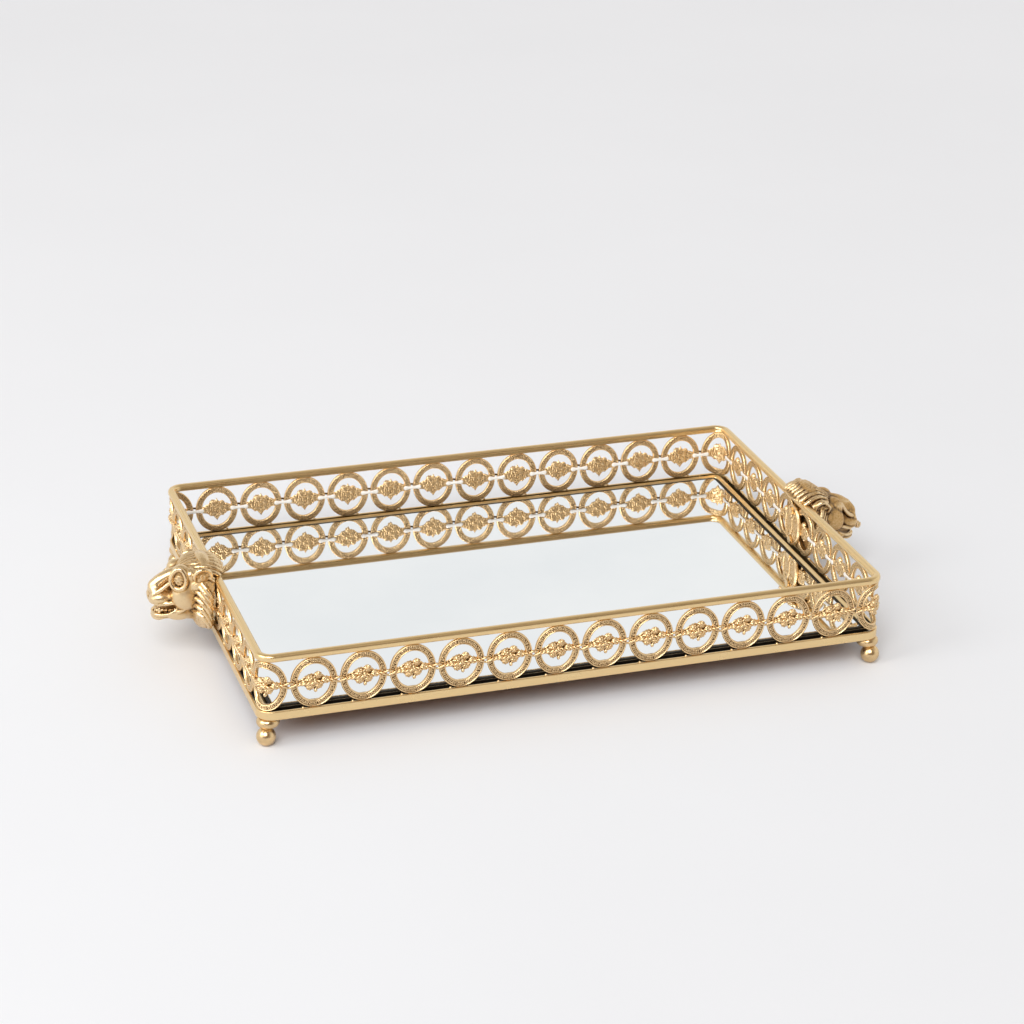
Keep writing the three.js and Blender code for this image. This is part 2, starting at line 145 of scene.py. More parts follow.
def tray_sizes():
    """The sizes that the panel sets, with each length in millimetres."""
    settings = bpy.context.scene.tray_sizes
    sizes = {}
    for name, prop in settings.bl_rna.properties.items():
        if prop.type == "FLOAT":
            sizes[name] = round(getattr(settings, name) / MM, 4)
        elif prop.type == "INT":
            sizes[name] = getattr(settings, name)
    return SimpleNamespace(**sizes)


# Forms: points in millimetres with their faces, before they are made into meshes.
Form = namedtuple("Form", "points quads triangles uv")


def form(points, quads=(), triangles=(), uv=None):
    return Form(
        np.asarray(points, float),
        np.asarray(quads, int).reshape(-1, 4),
        np.asarray(triangles, int).reshape(-1, 3),
        uv,
    )


def joined(forms):
    """One form out of several."""
    starts = np.cumsum([0] + [len(f.points) for f in forms[:-1]])
    return form(
        np.concatenate([f.points for f in forms]),
        np.concatenate([f.quads + start for f, start in zip(forms, starts)]),
        np.concatenate([f.triangles + start for f, start in zip(forms, starts)]),
    )


def moved(shape, place):
    """The same faces with their points sent through a function."""
    return form(place(shape.points), shape.quads, shape.triangles, shape.uv)


def grid_faces(rows, columns, closed_rows):
    """Quads over rows of points whose columns close on themselves."""
    spans = rows if closed_rows else rows - 1
    i, j = np.meshgrid(np.arange(spans), np.arange(columns), indexing="ij")
    following = (i + 1) % rows
    beside = (j + 1) % columns
    corners = [i * columns + j, i * columns + beside, following * columns + beside, following * columns + j]
    return np.stack(corners, axis=-1).reshape(-1, 4)


def swept(sections, closed, run=None, girth=None):
    """A skin over sections of equal point count. run and girth are distances for the brushing."""
    sections = np.asarray(sections, float)
    rows, columns = sections.shape[:2]
    points = sections.reshape(-1, 3)
    quads = grid_faces(rows, columns, closed)
    triangles = []
    if not closed:
        last = (rows - 1) * columns
        points = np.vstack([points, sections[0].mean(axis=0), sections[-1].mean(axis=0)])
        for j in range(columns):
            beside = (j + 1) % columns
            triangles.append((len(points) - 2, beside, j))
            triangles.append((len(points) - 1, last + j, last + beside))
    uv = None
    if run is not None:
        spans = rows if closed else rows - 1
        i, j = np.meshgrid(np.arange(spans), np.arange(columns), indexing="ij")
        u = [run[i], run[i], run[i + 1], run[i + 1]]
        v = [girth[j], girth[j + 1], girth[j + 1], girth[j]]
        uv = np.stack([np.stack(u, axis=-1), np.stack(v, axis=-1)], axis=-1).reshape(-1, 4, 2)
    return form(points, quads, triangles, uv)


def lathe(profile, sides, centre=(0, 0)):
    """A turned solid about a vertical axis, from (radius, height) pairs whose ends are on the axis."""
    turn = np.linspace(0, 2 * math.pi, sides, endpoint=False)
    rings = [
        np.stack([centre[0] + r * np.cos(turn), centre[1] + r * np.sin(turn), np.full(sides, z)], axis=-1)
        for r, z in profile
    ]
    return swept(rings, False)


def ellipsoid(centre, radii, tilt=0.0, yaw=0.0, rings=12, sides=18):
    """A ball stretched along its axes, tilted about Y and turned about Z, in degrees."""
    polar = np.linspace(0.06, math.pi - 0.06, rings)
    turn = np.linspace(0, 2 * math.pi, sides, endpoint=False)
    sections = [
        np.stack([np.sin(p) * np.cos(turn), np.sin(p) * np.sin(turn), np.full(sides, -np.cos(p))], axis=-1)
        for p in polar
    ]
    ball = swept(sections, False)
    spin = Matrix.Rotation(math.radians(yaw), 3, "Z") @ Matrix.Rotation(math.radians(tilt), 3, "Y")
    return moved(ball, lambda p: p * np.array(radii) @ np.array(spin).T + np.array(centre))


def grain(spot, radius, height=None):
    """One small ball of granulation."""
    return ellipsoid(spot, (radius, radius, height or radius), rings=6, sides=8)


def smooth_path(points, step):
    """Points on a Catmull-Rom curve through the given ones, about a step apart."""
    p = np.asarray(points, float)
    p = np.vstack([2 * p[0] - p[1], p, 2 * p[-1] - p[-2]])
    out = []
    for a, b, c, d in zip(p[:-3], p[1:-2], p[2:-1], p[3:]):
        count = max(2, int(np.linalg.norm(c[:3] - b[:3]) / step))
        for t in np.arange(count) / count:
            curve = (2 * a - 5 * b + 4 * c - d) * t**2 + (3 * b - a - 3 * c + d) * t**3
            out.append(0.5 * (2 * b + (c - a) * t + curve))
    out.append(p[-2])
    return np.array(out)


def tube(points, radii, sides=10, closed=False, flat=1.0):
    """A round bar along points, with a radius at each. flat squeezes it along its second axis."""
    points = np.asarray(points, float)
    radii = np.broadcast_to(np.asarray(radii, float), (len(points),))
    if closed:
        ways = np.roll(points, -1, axis=0) - np.roll(points, 1, axis=0)
    else:
        ways = np.gradient(points, axis=0)
    ways /= np.linalg.norm(ways, axis=1)[:, None]
    side = np.cross(ways[0], UP if abs(ways[0][2]) < 0.9 else np.array([1.0, 0, 0]))
    turn = np.linspace(0, 2 * math.pi, sides, endpoint=False)[:, None]
    sections = []
    for point, way, radius in zip(points, ways, radii):
        side = side - way * side.dot(way)
        side /= np.linalg.norm(side)
        other = np.cross(way, side)
        sections.append(point + radius * (np.cos(turn) * side + flat * np.sin(turn) * other))
    if not closed:  # round the ends off
        for end, way, into in ((0, -ways[0], 0), (-1, ways[-1], len(sections))):
            ring, middle, radius = sections[end], points[end], radii[end]
            turns = (0.6, 1.1, 1.45)
            cap = [middle + (ring - middle) * math.cos(a) + way * radius * math.sin(a) for a in turns]
            if into:
                sections = sections + cap
            else:
                sections = cap[::-1] + sections
    return swept(sections, closed)


def noise(points, size, seed=0):
    """Smooth random values from -1 to 1 that change over about that size."""
    p = points / size + seed * 17.31
    cell = np.floor(p).astype(np.int64)
    f = p - cell
    f = f * f * (3 - 2 * f)
    total = np.zeros(len(p))
    for corner in np.ndindex(2, 2, 2):
        c = cell + corner
        mix = (c[:, 0] * 73856093) ^ (c[:, 1] * 19349663) ^ (c[:, 2] * 83492791)
        mix = ((mix ^ (mix >> 13)) * 1274126177) & 0x7FFFFFFF
        total += (mix % 10007) / 10007 * np.prod(np.where(corner, f, 1 - f), axis=1)
    return 2 * total - 1


def normals_of(shape):
    """A unit normal for each point."""
    total = np.zeros_like(shape.points)
    for faces in (shape.quads, shape.triangles):
        if len(faces):
            a, b, c, d = (shape.points[faces[:, k]] for k in (0, 1, 2, -1))
            across = np.cross(c - a, d - b) if faces.shape[1] == 4 else np.cross(b - a, c - a)
            for k in range(faces.shape[1]):
                np.add.at(total, faces[:, k], across)
    return total / np.maximum(np.linalg.norm(total, axis=1), 1e-12)[:, None]


def relaxed(shape, steps, amount=0.5):
    """The form's points after each has moved towards its neighbours that many times."""
    pairs = [shape.quads[:, [k, (k + 1) % 4]] for k in range(4)]
    pairs += [shape.triangles[:, [k, (k + 1) % 3]] for k in range(3)]
    edges = np.concatenate(pairs)
    edges = np.concatenate([edges, edges[:, ::-1]])
    count = np.maximum(np.bincount(edges[:, 0], minlength=len(shape.points)), 1)
    points = shape.points
    for _ in range(steps):
        sums = [np.bincount(edges[:, 0], points[edges[:, 1], k], len(points)) for k in range(3)]
        points = points + amount * (np.stack(sums, axis=-1) / count[:, None] - points)
    return points


def cavity_of(shape, steps, depth):
    """How far each point lies below its surroundings, from 0 on a crest to 1 in a hollow of that depth."""
    below = np.einsum("ij,ij->i", relaxed(shape, steps) - shape.points, normals_of(shape))
    return np.clip(0.5 + 0.5 * below / depth, 0, 1)


# Meshes
def make_piece(name, shape, material, replaces=(), cavity=None, smooth=True):
    """Turns a form into an object that rides with the tray."""
    mesh = bpy.data.meshes.new(name)
    faces = shape.quads.tolist() + shape.triangles.tolist()
    mesh.from_pydata((shape.points * MM).tolist(), [], faces)
    if shape.uv is not None:
        layer = mesh.uv_layers.new(name="bar")
        flat = np.zeros((len(mesh.loops), 2))
        flat[: len(shape.uv) * 4] = shape.uv.reshape(-1, 2) * MM
        layer.data.foreach_set("uv", flat.ravel())
    if cavity is not None:
        mesh.attributes.new("cavity", "FLOAT", "POINT").data.foreach_set("value", np.asarray(cavity, float))
    mesh.polygons.foreach_set("use_smooth", [smooth] * len(faces))
    mesh.update()
    if mesh.validate(verbose=False):
        raise RuntimeError(name + " has faces that Blender had to remove")
    mesh.materials.append(material)
    piece = bpy.data.objects.new(name, mesh)
    bpy.context.collection.objects.link(piece)
    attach(piece, "root")
    if replaces:
        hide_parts(*replaces)
    return piece


def fused(shape, voxel, cutters=None, soften=2):
    """One skin round overlapping solids, with the cutters' space taken out of it."""

    def helper(source):
        mesh = bpy.data.meshes.new("helper")
        faces = source.quads.tolist() + source.triangles.tolist()
        mesh.from_pydata(source.points.tolist(), [], faces)
        made = bpy.data.objects.new("helper", mesh)
        bpy.context.collection.objects.link(made)
        return made

    def remesh(target):
        modifier = target.modifiers.new("skin", "REMESH")
        modifier.mode = "VOXEL"
        modifier.voxel_size = voxel

    body = helper(shape)
    remesh(body)
    helpers = [body]
    if cutters is not None:
        cutter = helper(cutters)
        remesh(cutter)
        helpers.append(cutter)
        cut = body.modifiers.new("cut", "BOOLEAN")
        cut.operation = "DIFFERENCE"
        cut.solver = "MANIFOLD"
        cut.object = cutter
        remesh(body)
    bpy.context.view_layer.update()
    seen = body.evaluated_get(bpy.context.evaluated_depsgraph_get())
    mesh = seen.to_mesh()
    points = np.zeros(len(mesh.vertices) * 3)
    mesh.vertices.foreach_get("co", points)
    quads = [tuple(p.vertices) for p in mesh.polygons if len(p.vertices) == 4]
    triangles = [tuple(p.vertices) for p in mesh.polygons if len(p.vertices) == 3]
    if not quads:
        raise RuntimeError("nothing is left of a form after its pieces were joined and cut")
    skin = form(points.reshape(-1, 3), quads, triangles)
    seen.to_mesh_clear()
    for item in helpers:
        data = item.data
        bpy.data.objects.remove(item)
        bpy.data.meshes.remove(data)
    return form(relaxed(skin, soften), skin.quads, skin.triangles)


def rounded_section(half_width, half_height, corner, steps=4):
    """A rectangle with round corners as (out, up) pairs."""
    points = []
    for quarter, (side_x, side_y) in enumerate(((1, 1), (-1, 1), (-1, -1), (1, -1))):
        for k in range(steps + 1):
            angle = (quarter + k / steps) * math.pi / 2
            points.append(
                (
                    side_x * (half_width - corner) + corner * math.cos(angle),
                    side_y * (half_height - corner) + corner * math.sin(angle),
                )
            )
    return np.array(points)


def frame_loop(section, half_x, half_y, radius, z, arc_steps=14, step=None):
    """A section of (out, up) pairs carried round a rectangle with round corners, in steps if one is given."""
    stations = []
    for side_x, side_y, facing in ((1, 1, 0), (-1, 1, 1), (-1, -1, 2), (1, -1, 3)):
        middle = np.array([side_x * (half_x - radius), side_y * (half_y - radius)])
        for k in range(arc_steps + 1):
            angle = (facing + k / arc_steps) * math.pi / 2
            out = np.array([math.cos(angle), math.sin(angle)])
            stations.append((middle + radius * out, out))
    if step:
        filled = []
        for (at, out), (following, _) in zip(stations, stations[1:] + stations[:1]):
            count = max(1, round(np.linalg.norm(following - at) / step))
            filled.append((at, out))
            if count > 4:
                filled += [(at + (following - at) * k / count, out) for k in range(1, count)]
        stations = filled
    places = np.array([at for at, _ in stations])
    lengths = np.linalg.norm(np.roll(places, -1, axis=0) - places, axis=1)
    run = np.concatenate([[0.0], np.cumsum(lengths)])
    sections = [np.column_stack([at + section[:, :1] * out, z + section[:, 1]]) for at, out in stations]
    around = np.linalg.norm(np.roll(section, -1, axis=0) - section, axis=1)
    girth = np.concatenate([[0.0], np.cumsum(around)])
    sections = [s[::-1] for s in sections]
    return swept(sections, True, run, girth[::-1])


def plate(half_x, half_y, radius, low, high, bevel, arc_steps=10):
    """A flat plate with round corners and bevelled edges."""
    rings = []
    for inset, z in ((bevel, low), (0, low + bevel), (0, high - bevel), (bevel, high)):
        ring = []
        for side_x, side_y, facing in ((1, 1, 0), (-1, 1, 1), (-1, -1, 2), (1, -1, 3)):
            for k in range(arc_steps + 1):
                angle = (facing + k / arc_steps) * math.pi / 2
                reach = max(radius - inset, 0.05)
                ring.append(
                    (
                        side_x * (half_x - radius) + reach * math.cos(angle),
                        side_y * (half_y - radius) + reach * math.sin(angle),
                        z,
                    )
                )
        rings.append(ring)
    return swept(rings, False)


# Materials
def feed(tree, target, inputs):
    """Feeds a node's inputs with values, sockets or other nodes' first outputs."""
    for name, value in inputs.items():
        if isinstance(value, bpy.types.Node):
            value = value.outputs[0]
        if isinstance(value, bpy.types.NodeSocket):
            tree.links.new(value, target.inputs[name])
        else:
            target.inputs[name].default_value = value


def node(tree, kind, inputs=None, stops=(), **settings):
    """Adds a node with its settings and links, and with a colour ramp's (position, linear colour) stops."""
    made = tree.nodes.new(kind)
    for name, value in settings.items():
        setattr(made, name, value)
    if stops:
        elements = made.color_ramp.elements
        while len(elements) < len(stops):
            elements.new(0.5)
        for element, (position, colour) in zip(elements, stops):
            element.position = position
            element.color = (*colour, 1)
    feed(tree, made, inputs or {})
    return made


def new_material(name):
    """An empty material: its node tree, its Principled shader, and places on the object in metres."""
    material = bpy.data.materials.new(name)
    material.use_nodes = True
    tree = material.node_tree
    place = node(tree, "ShaderNodeTexCoord").outputs["Object"]
    return material, tree, tree.nodes["Principled BSDF"], place


def times_a_metre(size_mm):
    """The scale of a pattern whose features are that big."""
    return 1 / (size_mm * MM)


def shade(colour, amount):
    """A colour made darker or lighter, by one amount or by one for each channel."""
    return tuple(np.asarray(colour) * amount)


def satin_gilt_rail(colours):
    """Brass bar, drawn, satin brushed along its length and gilt: long soft streaks in a warm pale gold."""
    material, tree, shader, place = new_material("satin gilt brass, brushed")
    bar = node(tree, "ShaderNodeUVMap", uv_map="bar")
    # Brushing is finer than 0.2 mm on the real bar. It is drawn at 0.7 mm by 40 mm so that it shows.
    scale = (times_a_metre(40), times_a_metre(0.7), 1)
    stretch = node(tree, "ShaderNodeMapping", {"Vector": bar, "Scale": scale})
    streaks = node(tree, "ShaderNodeTexNoise", {"Vector": stretch, "Scale": 1.0, "Detail": 3.0})
    wear = node(tree, "ShaderNodeTexNoise", {"Vector": place, "Scale": times_a_metre(45), "Detail": 4.0})
    tone = node(tree, "ShaderNodeMath", {0: streaks, 1: wear}, operation="ADD")
    base = tuple(colours.rail)
    stops = [(0.25, shade(base, 0.72)), (0.5, base), (0.8, shade(base, 1.04))]
    finish = {
        "Base Color": node(tree, "ShaderNodeValToRGB", {"Fac": tone}, stops),
        "Metallic": 1.0,
        "Roughness": node(tree, "ShaderNodeMapRange", {"Value": streaks, "To Min": 0.2, "To Max": 0.38}),
        "Normal": node(tree, "ShaderNodeBump", {"Height": streaks, "Strength": 0.12, "Distance": 0.2 * MM}),
    }
    feed(tree, shader, finish)
    return material


def lip_finish(colours):
    """The lip's brass is gilt on its inner slope. Its crest and outer face are black as painted shade,
    standing in for the shade of the narrow channel beside the band.
    """
    material = satin_gilt_rail(colours)
    material.name = "gilt brass, outer face painted black"
    tree = material.node_tree
    shader = tree.nodes["Principled BSDF"]
    surface = node(tree, "ShaderNodeNewGeometry")
    level = {0: surface.outputs["Position"], 1: (1, 1, 0)}
    from_middle = node(tree, "ShaderNodeVectorMath", level, operation="MULTIPLY")
    facing = {0: from_middle, 1: surface.outputs["True Normal"]}
    outward = node(tree, "ShaderNodeVectorMath", facing, operation="DOT_PRODUCT").outputs["Value"]
    # Black, not metal, where the surface looks outwards: painted shade on the lip's crest and outer face, not
    # paint.
    painted = node(tree, "ShaderNodeMath", {0: outward, 1: -0.02}, operation="GREATER_THAN")
    gilt = shader.inputs["Base Color"].links[0].from_socket
    colour = node(tree, "ShaderNodeMix", {0: painted, 6: gilt, 7: (*colours.black, 1)}, data_type="RGBA")
    metal = node(tree, "ShaderNodeMath", {0: 1.0, 1: painted}, operation="SUBTRACT")
    feed(tree, shader, {"Base Color": colour.outputs[2], "Metallic": metal})
    return material


def cast_gilt(name, base, patina, grain_mm, crest_roughness, bump_strength):
    """Cast brass, gilt and then rubbed back: bright on the crests, with brown patina left in the hollows."""
    material, tree, shader, place = new_material(name)
    # The cavity attribute is the patina's depth; on the right lion's head it also carries painted shade,
    # which darkens that head all over.
    hollow = node(tree, "ShaderNodeAttribute", attribute_name="cavity").outputs["Fac"]
    grain = times_a_metre(grain_mm)
    pits = node(tree, "ShaderNodeTexNoise", {"Vector": place, "Scale": grain, "Detail": 2.0})
    stain = node(tree, "ShaderNodeTexNoise", {"Vector": place, "Scale": times_a_metre(17), "Detail": 3.0})
    mottle = node(tree, "ShaderNodeMath", {0: pits, 1: 0.18}, operation="MULTIPLY")
    spread = node(tree, "ShaderNodeMath", {0: stain, 1: 0.18}, operation="MULTIPLY")
    both = node(tree, "ShaderNodeMath", {0: mottle, 1: spread}, operation="ADD")
    depth = node(tree, "ShaderNodeMath", {0: hollow, 1: both}, operation="ADD")
    stops = [
        (0.50, shade(base, 1.08)),
        (0.68, base),
        (0.79, shade(base, (0.74, 0.60, 0.38))),
        (0.90, tuple(0.3 * b + 0.7 * p for b, p in zip(base, patina))),
        (1.0, patina),
    ]
    dulling = {"Value": depth, "From Min": 0.5, "From Max": 1.0, "To Min": crest_roughness, "To Max": 0.75}
    pitting = {"Height": pits, "Strength": bump_strength, "Distance": 0.3 * MM}
    finish = {
        "Base Color": node(tree, "ShaderNodeValToRGB", {"Fac": depth}, stops),
        "Metallic": 1.0,
        "Roughness": node(tree, "ShaderNodeMapRange", dulling),
        "Normal": node(tree, "ShaderNodeBump", pitting),
    }
    feed(tree, shader, finish)
    return material


def polished_gilt(colours):
    """Brass balls, turned, polished and gilt: clear soft reflections, a few scuffs and darker blotches."""
    material, tree, shader, place = new_material("polished gilt brass, turned")
    blotch = node(tree, "ShaderNodeTexNoise", {"Vector": place, "Scale": times_a_metre(8), "Detail": 4.0})
    base = tuple(colours.foot)
    stops = [(0.3, shade(base, 0.78)), (0.55, base), (0.8, shade(base, 1.08))]
    finish = {
        "Base Color": node(tree, "ShaderNodeValToRGB", {"Fac": blotch}, stops),
        "Metallic": 1.0,
        "Roughness": node(tree, "ShaderNodeMapRange", {"Value": blotch, "To Min": 0.14, "To Max": 0.34}),
    }
    feed(tree, shader, finish)
    return material


def white_painted_highlight(colours):
    """Flat links stamped from sheet, coloured white as a painted highlight for the light that a polished bar
    catches: clean and bright, with a faint orange peel.
    """
    material, tree, shader, place = new_material("white enamel on stamped brass")
    peel = node(tree, "ShaderNodeTexNoise", {"Vector": place, "Scale": times_a_metre(1.4), "Detail": 2.0})
    base = tuple(colours.link)
    # The links' white is a painted highlight: it stands in for light caught on a polished bar.
    colour = node(tree, "ShaderNodeValToRGB", {"Fac": peel}, [(0.3, shade(base, 0.9)), (0.6, base)])
    feed(tree, shader, {"Base Color": colour, "Roughness": 0.25})
    return material


def silvered_glass():
    """Plate glass silvered on its back: a clean, slightly cool reflection with a breath of dust."""
    material, tree, shader, place = new_material("silvered plate glass")
    dust = node(tree, "ShaderNodeTexNoise", {"Vector": place, "Scale": times_a_metre(110), "Detail": 6.0})
    stops = [(0.35, linear("#EEF1F3")), (0.7, linear("#F4F6F7"))]
    finish = {
        "Base Color": node(tree, "ShaderNodeValToRGB", {"Fac": dust}, stops),
        "Metallic": 1.0,
        "Roughness": node(tree, "ShaderNodeMapRange", {"Value": dust, "To Min": 0.015, "To Max": 0.035}),
    }
    feed(tree, shader, finish)
    return material


def black_surface(name, colours, roughness, grain_mm, strength):
    """Black paint, hardboard or rubber: each is dark and dull, with a grain of its own size."""
    material, tree, shader, place = new_material(name)
    scale = times_a_metre(grain_mm)
    grain = node(tree, "ShaderNodeTexNoise", {"Vector": place, "Scale": scale, "Detail": 3.0})
    base = tuple(colours.black)
    stops = [(0.3, shade(base, 0.6)), (0.7, shade(base, 1.7))]
    finish = {
        "Base Color": node(tree, "ShaderNodeValToRGB", {"Fac": grain}, stops),
        "Roughness": roughness,
        "Normal": node(tree, "ShaderNodeBump", {"Height": grain, "Strength": strength, "Distance": 0.2 * MM}),
    }
    feed(tree, shader, finish)
    return material


def pressed_felt(colours):
    """Pressed wool felt: matted fibres in two browns, with a soft nap."""
    material, tree, shader, place = new_material("pressed wool felt")
    # Fibres are 0.02 mm thick. They are drawn as 1.2 mm tufts so that they show.
    tufts = node(tree, "ShaderNodeTexNoise", {"Vector": place, "Scale": times_a_metre(1.2), "Detail": 5.0})
    base = tuple(colours.felt)
    stops = [(0.3, shade(base, 0.6)), (0.7, shade(base, 1.3))]
    finish = {
        "Base Color": node(tree, "ShaderNodeValToRGB", {"Fac": tufts}, stops),
        "Roughness": 0.95,
        "Sheen Weight": 0.4,
        "Normal": node(tree, "ShaderNodeBump", {"Height": tufts, "Strength": 0.6, "Distance": 0.6 * MM}),
    }
    feed(tree, shader, finish)
    return material


def plated_steel():
    """Machine screws in zinc plated steel: grey with a faint bloom."""
    material, tree, shader, place = new_material("zinc plated steel")
    bloom = node(tree, "ShaderNodeTexNoise", {"Vector": place, "Scale": times_a_metre(1.1), "Detail": 3.0})
    stops = [(0.3, linear("#A9A69C")), (0.7, linear("#D0CCC2"))]
    colour = node(tree, "ShaderNodeValToRGB", {"Fac": bloom}, stops)
    feed(tree, shader, {"Base Color": colour, "Metallic": 1.0, "Roughness": 0.36})
    return material


def painted_table(colours):
    """Board painted matt white: nearly even, with the faintest cloudiness."""
    material, tree, shader, place = new_material("matt white paint on board")
    cloud = node(tree, "ShaderNodeTexNoise", {"Vector": place, "Scale": times_a_metre(330), "Detail": 3.0})
    base = tuple(colours.floor)
    colour = node(tree, "ShaderNodeValToRGB", {"Fac": cloud}, [(0.3, shade(base, 0.985)), (0.7, base)])
    feed(tree, shader, {"Base Color": colour, "Roughness": 0.8})
    return material


def shared_material(key, make):
    """Makes a material once and finds it again by its key."""
    for material in bpy.data.materials:
        if material.get("finish") == key:
            return material
    material = make()
    material["finish"] = key
    return material


def rail_material(context):
    return shared_material("rail", lambda: satin_gilt_rail(context.scene.tray_colours))


def casting_material(context):
    """The gallery's finish: granulated, with a matt skin."""
    colours = context.scene.tray_colours
    gold, brown = tuple(colours.casting), tuple(colours.patina)
    name = "cast gilt brass, granulated"
    return shared_material("casting", lambda: cast_gilt(name, gold, brown, 0.9, 0.26, 0.35))


def lion_material(context):
    """The heads' finish: chased smooth and burnished."""
    colours = context.scene.tray_colours
    gold, brown = tuple(colours.lion), tuple(colours.patina)
    name = "cast gilt brass, chased and burnished"
    return shared_material("lion", lambda: cast_gilt(name, gold, brown, 1.4, 0.16, 0.06))


# Stage
SKY = [  # what lights the floor: even and white, and warm low down, which browns the shade under the tray
    (0.0, (0.52, 0.20, 0.06)),
    (0.25, (0.53, 0.33, 0.19)),
    (0.5, (0.56, 0.56, 0.56)),
    (0.7, (0.57, 0.58, 0.59)),
]
WALL = [  # what metal and glass see: a bright back wall and a duller ceiling
    (0.0, (0.95, 0.955, 0.95)),
    (0.45, (1.0, 1.005, 1.0)),
    (0.75, (0.62, 0.57, 0.50)),
    (1.0, (0.50, 0.44, 0.37)),
]
ROOM = (-0.31, -0.90, 0.42), 0.35, 0.8, (0.24, 0.18, 0.13, 1)  # way to it, its edge and middle, its colour
WINDOW = (-0.86, -0.28, 0.42), 0.86, 0.95, (2.1, 2.05, 1.95, 1)


def with_patch(tree, direction, behind, patch):
    """A colour with a soft edged patch of another laid over it in one direction."""
    way, edge, middle, colour = patch
    way = tuple(Vector(way).normalized())
    near = node(tree, "ShaderNodeVectorMath", {0: direction, 1: way}, operation="DOT_PRODUCT")
    limits = {"Value": near.outputs["Value"], "From Min": edge, "From Max": middle}
    share = node(tree, "ShaderNodeMapRange", limits, interpolation_type="SMOOTHSTEP")
    return node(tree, "ShaderNodeMix", {0: share, 6: behind, 7: colour}, data_type="RGBA").outputs[2]


def studio_world():
    """A white studio. Metal also sees a dark, warm room in front and a bright window at the left."""
    world = bpy.data.worlds.new("soft studio")
    world.use_nodes = True
    tree = world.node_tree
    direction = node(tree, "ShaderNodeTexCoord").outputs["Generated"]
    height = node(tree, "ShaderNodeSeparateXYZ", {"Vector": direction}).outputs["Z"]
    even = node(tree, "ShaderNodeValToRGB", {"Fac": height}, SKY).outputs["Color"]
    seen = node(tree, "ShaderNodeValToRGB", {"Fac": height}, WALL).outputs["Color"]
    for patch in (ROOM, WINDOW):
        seen = with_patch(tree, direction, seen, patch)
    glossy = node(tree, "ShaderNodeLightPath").outputs["Is Glossy Ray"]
    light = node(tree, "ShaderNodeMix", {0: glossy, 6: even, 7: seen}, data_type="RGBA").outputs[2]
    feed(tree, tree.nodes["Background"], {"Color": light, "Strength": 0.93})
    return world


def add_lights(context):
    """One very large softbox from the front left, and a smaller one beside the tray."""
    large = bpy.data.lights.new("large_softbox", "SUN")
    large.energy = 1.75
    large.angle = math.radians(35)
    small = bpy.data.lights.new("softbox_left", "AREA")
    small.energy = 14.0
    small.size = 1.0
    for light, spot in ((large, (-0.9, -1.7, 1.9)), (small, (-2.0, -0.4, 1.5))):
        lamp = bpy.data.objects.new(light.name, light)
        lamp.location = spot
        lamp.rotation_euler = (-Vector(spot)).to_track_quat("-Z", "Y").to_euler()
        context.collection.objects.link(lamp)


def add_camera(context):
    """A long lens from the front, a little to the left and above."""
    azimuth, elevation, roll = (math.radians(a) for a in (-18.28, 23.60, 0.87))
    level = Vector((math.sin(azimuth), -math.cos(azimuth), 0))
    back = level * math.cos(elevation) + Vector((0, 0, math.sin(elevation)))
    right = (-back).cross(Vector((0, 0, 1))).normalized()
    above = right.cross(-back)
    turned_right = math.cos(roll) * right + math.sin(roll) * above
    turned_above = -math.sin(roll) * right + math.cos(roll) * above
    lens = bpy.data.cameras.new("camera")
    lens.lens = 98.4
    lens.sensor_width = 36.0
    camera = bpy.data.objects.new("camera", lens)
    axes = Matrix((turned_right, turned_above, back)).transposed()
    camera.matrix_world = Matrix.Translation((-0.5904, -1.7825, 0.9026)) @ axes.to_4x4()
    context.collection.objects.link(camera)
    context.scene.camera = camera


# Medallions: points are (along the side, up, out of it), about the middle of the medallion.
def oval(sizes, angle, inset):
    """A point on the medallion's oval, moved in from its edge."""
    half_height = GALLERY_HALF_HEIGHT + 0.05  # so that it is soldered to both rails
    return (sizes.ring_half_width - inset) * np.cos(angle), (half_height - inset) * np.sin(angle)


def beads_over(along, up, spots, radius, height):
    """Height of the domes of beads at those spots, over a surface's points."""
    gap = np.full(along.shape, 9.0)
    for spot_along, spot_up in spots:
        near = np.hypot(along - spot_along, up - spot_up)
        gap = np.minimum(gap, near)
    return height * np.sqrt(np.clip(1 - (gap / radius) ** 2, 0, None))


def bead_rows(sizes, rng, insets):
    """Spots of beads in rows round the medallion's oval, one row at each distance in from its edge."""
    rows = []
    for inset in insets:
        count = int(2 * math.pi * (sizes.ring_half_width - inset) / (sizes.grain * 1.04))
        angle = (np.arange(count) + rng.uniform(-0.2, 0.2, count)) * 2 * math.pi / count
        rows.append(np.column_stack(oval(sizes, angle, inset + rng.uniform(-0.14, 0.14, count))))
    return np.concatenate(rows)


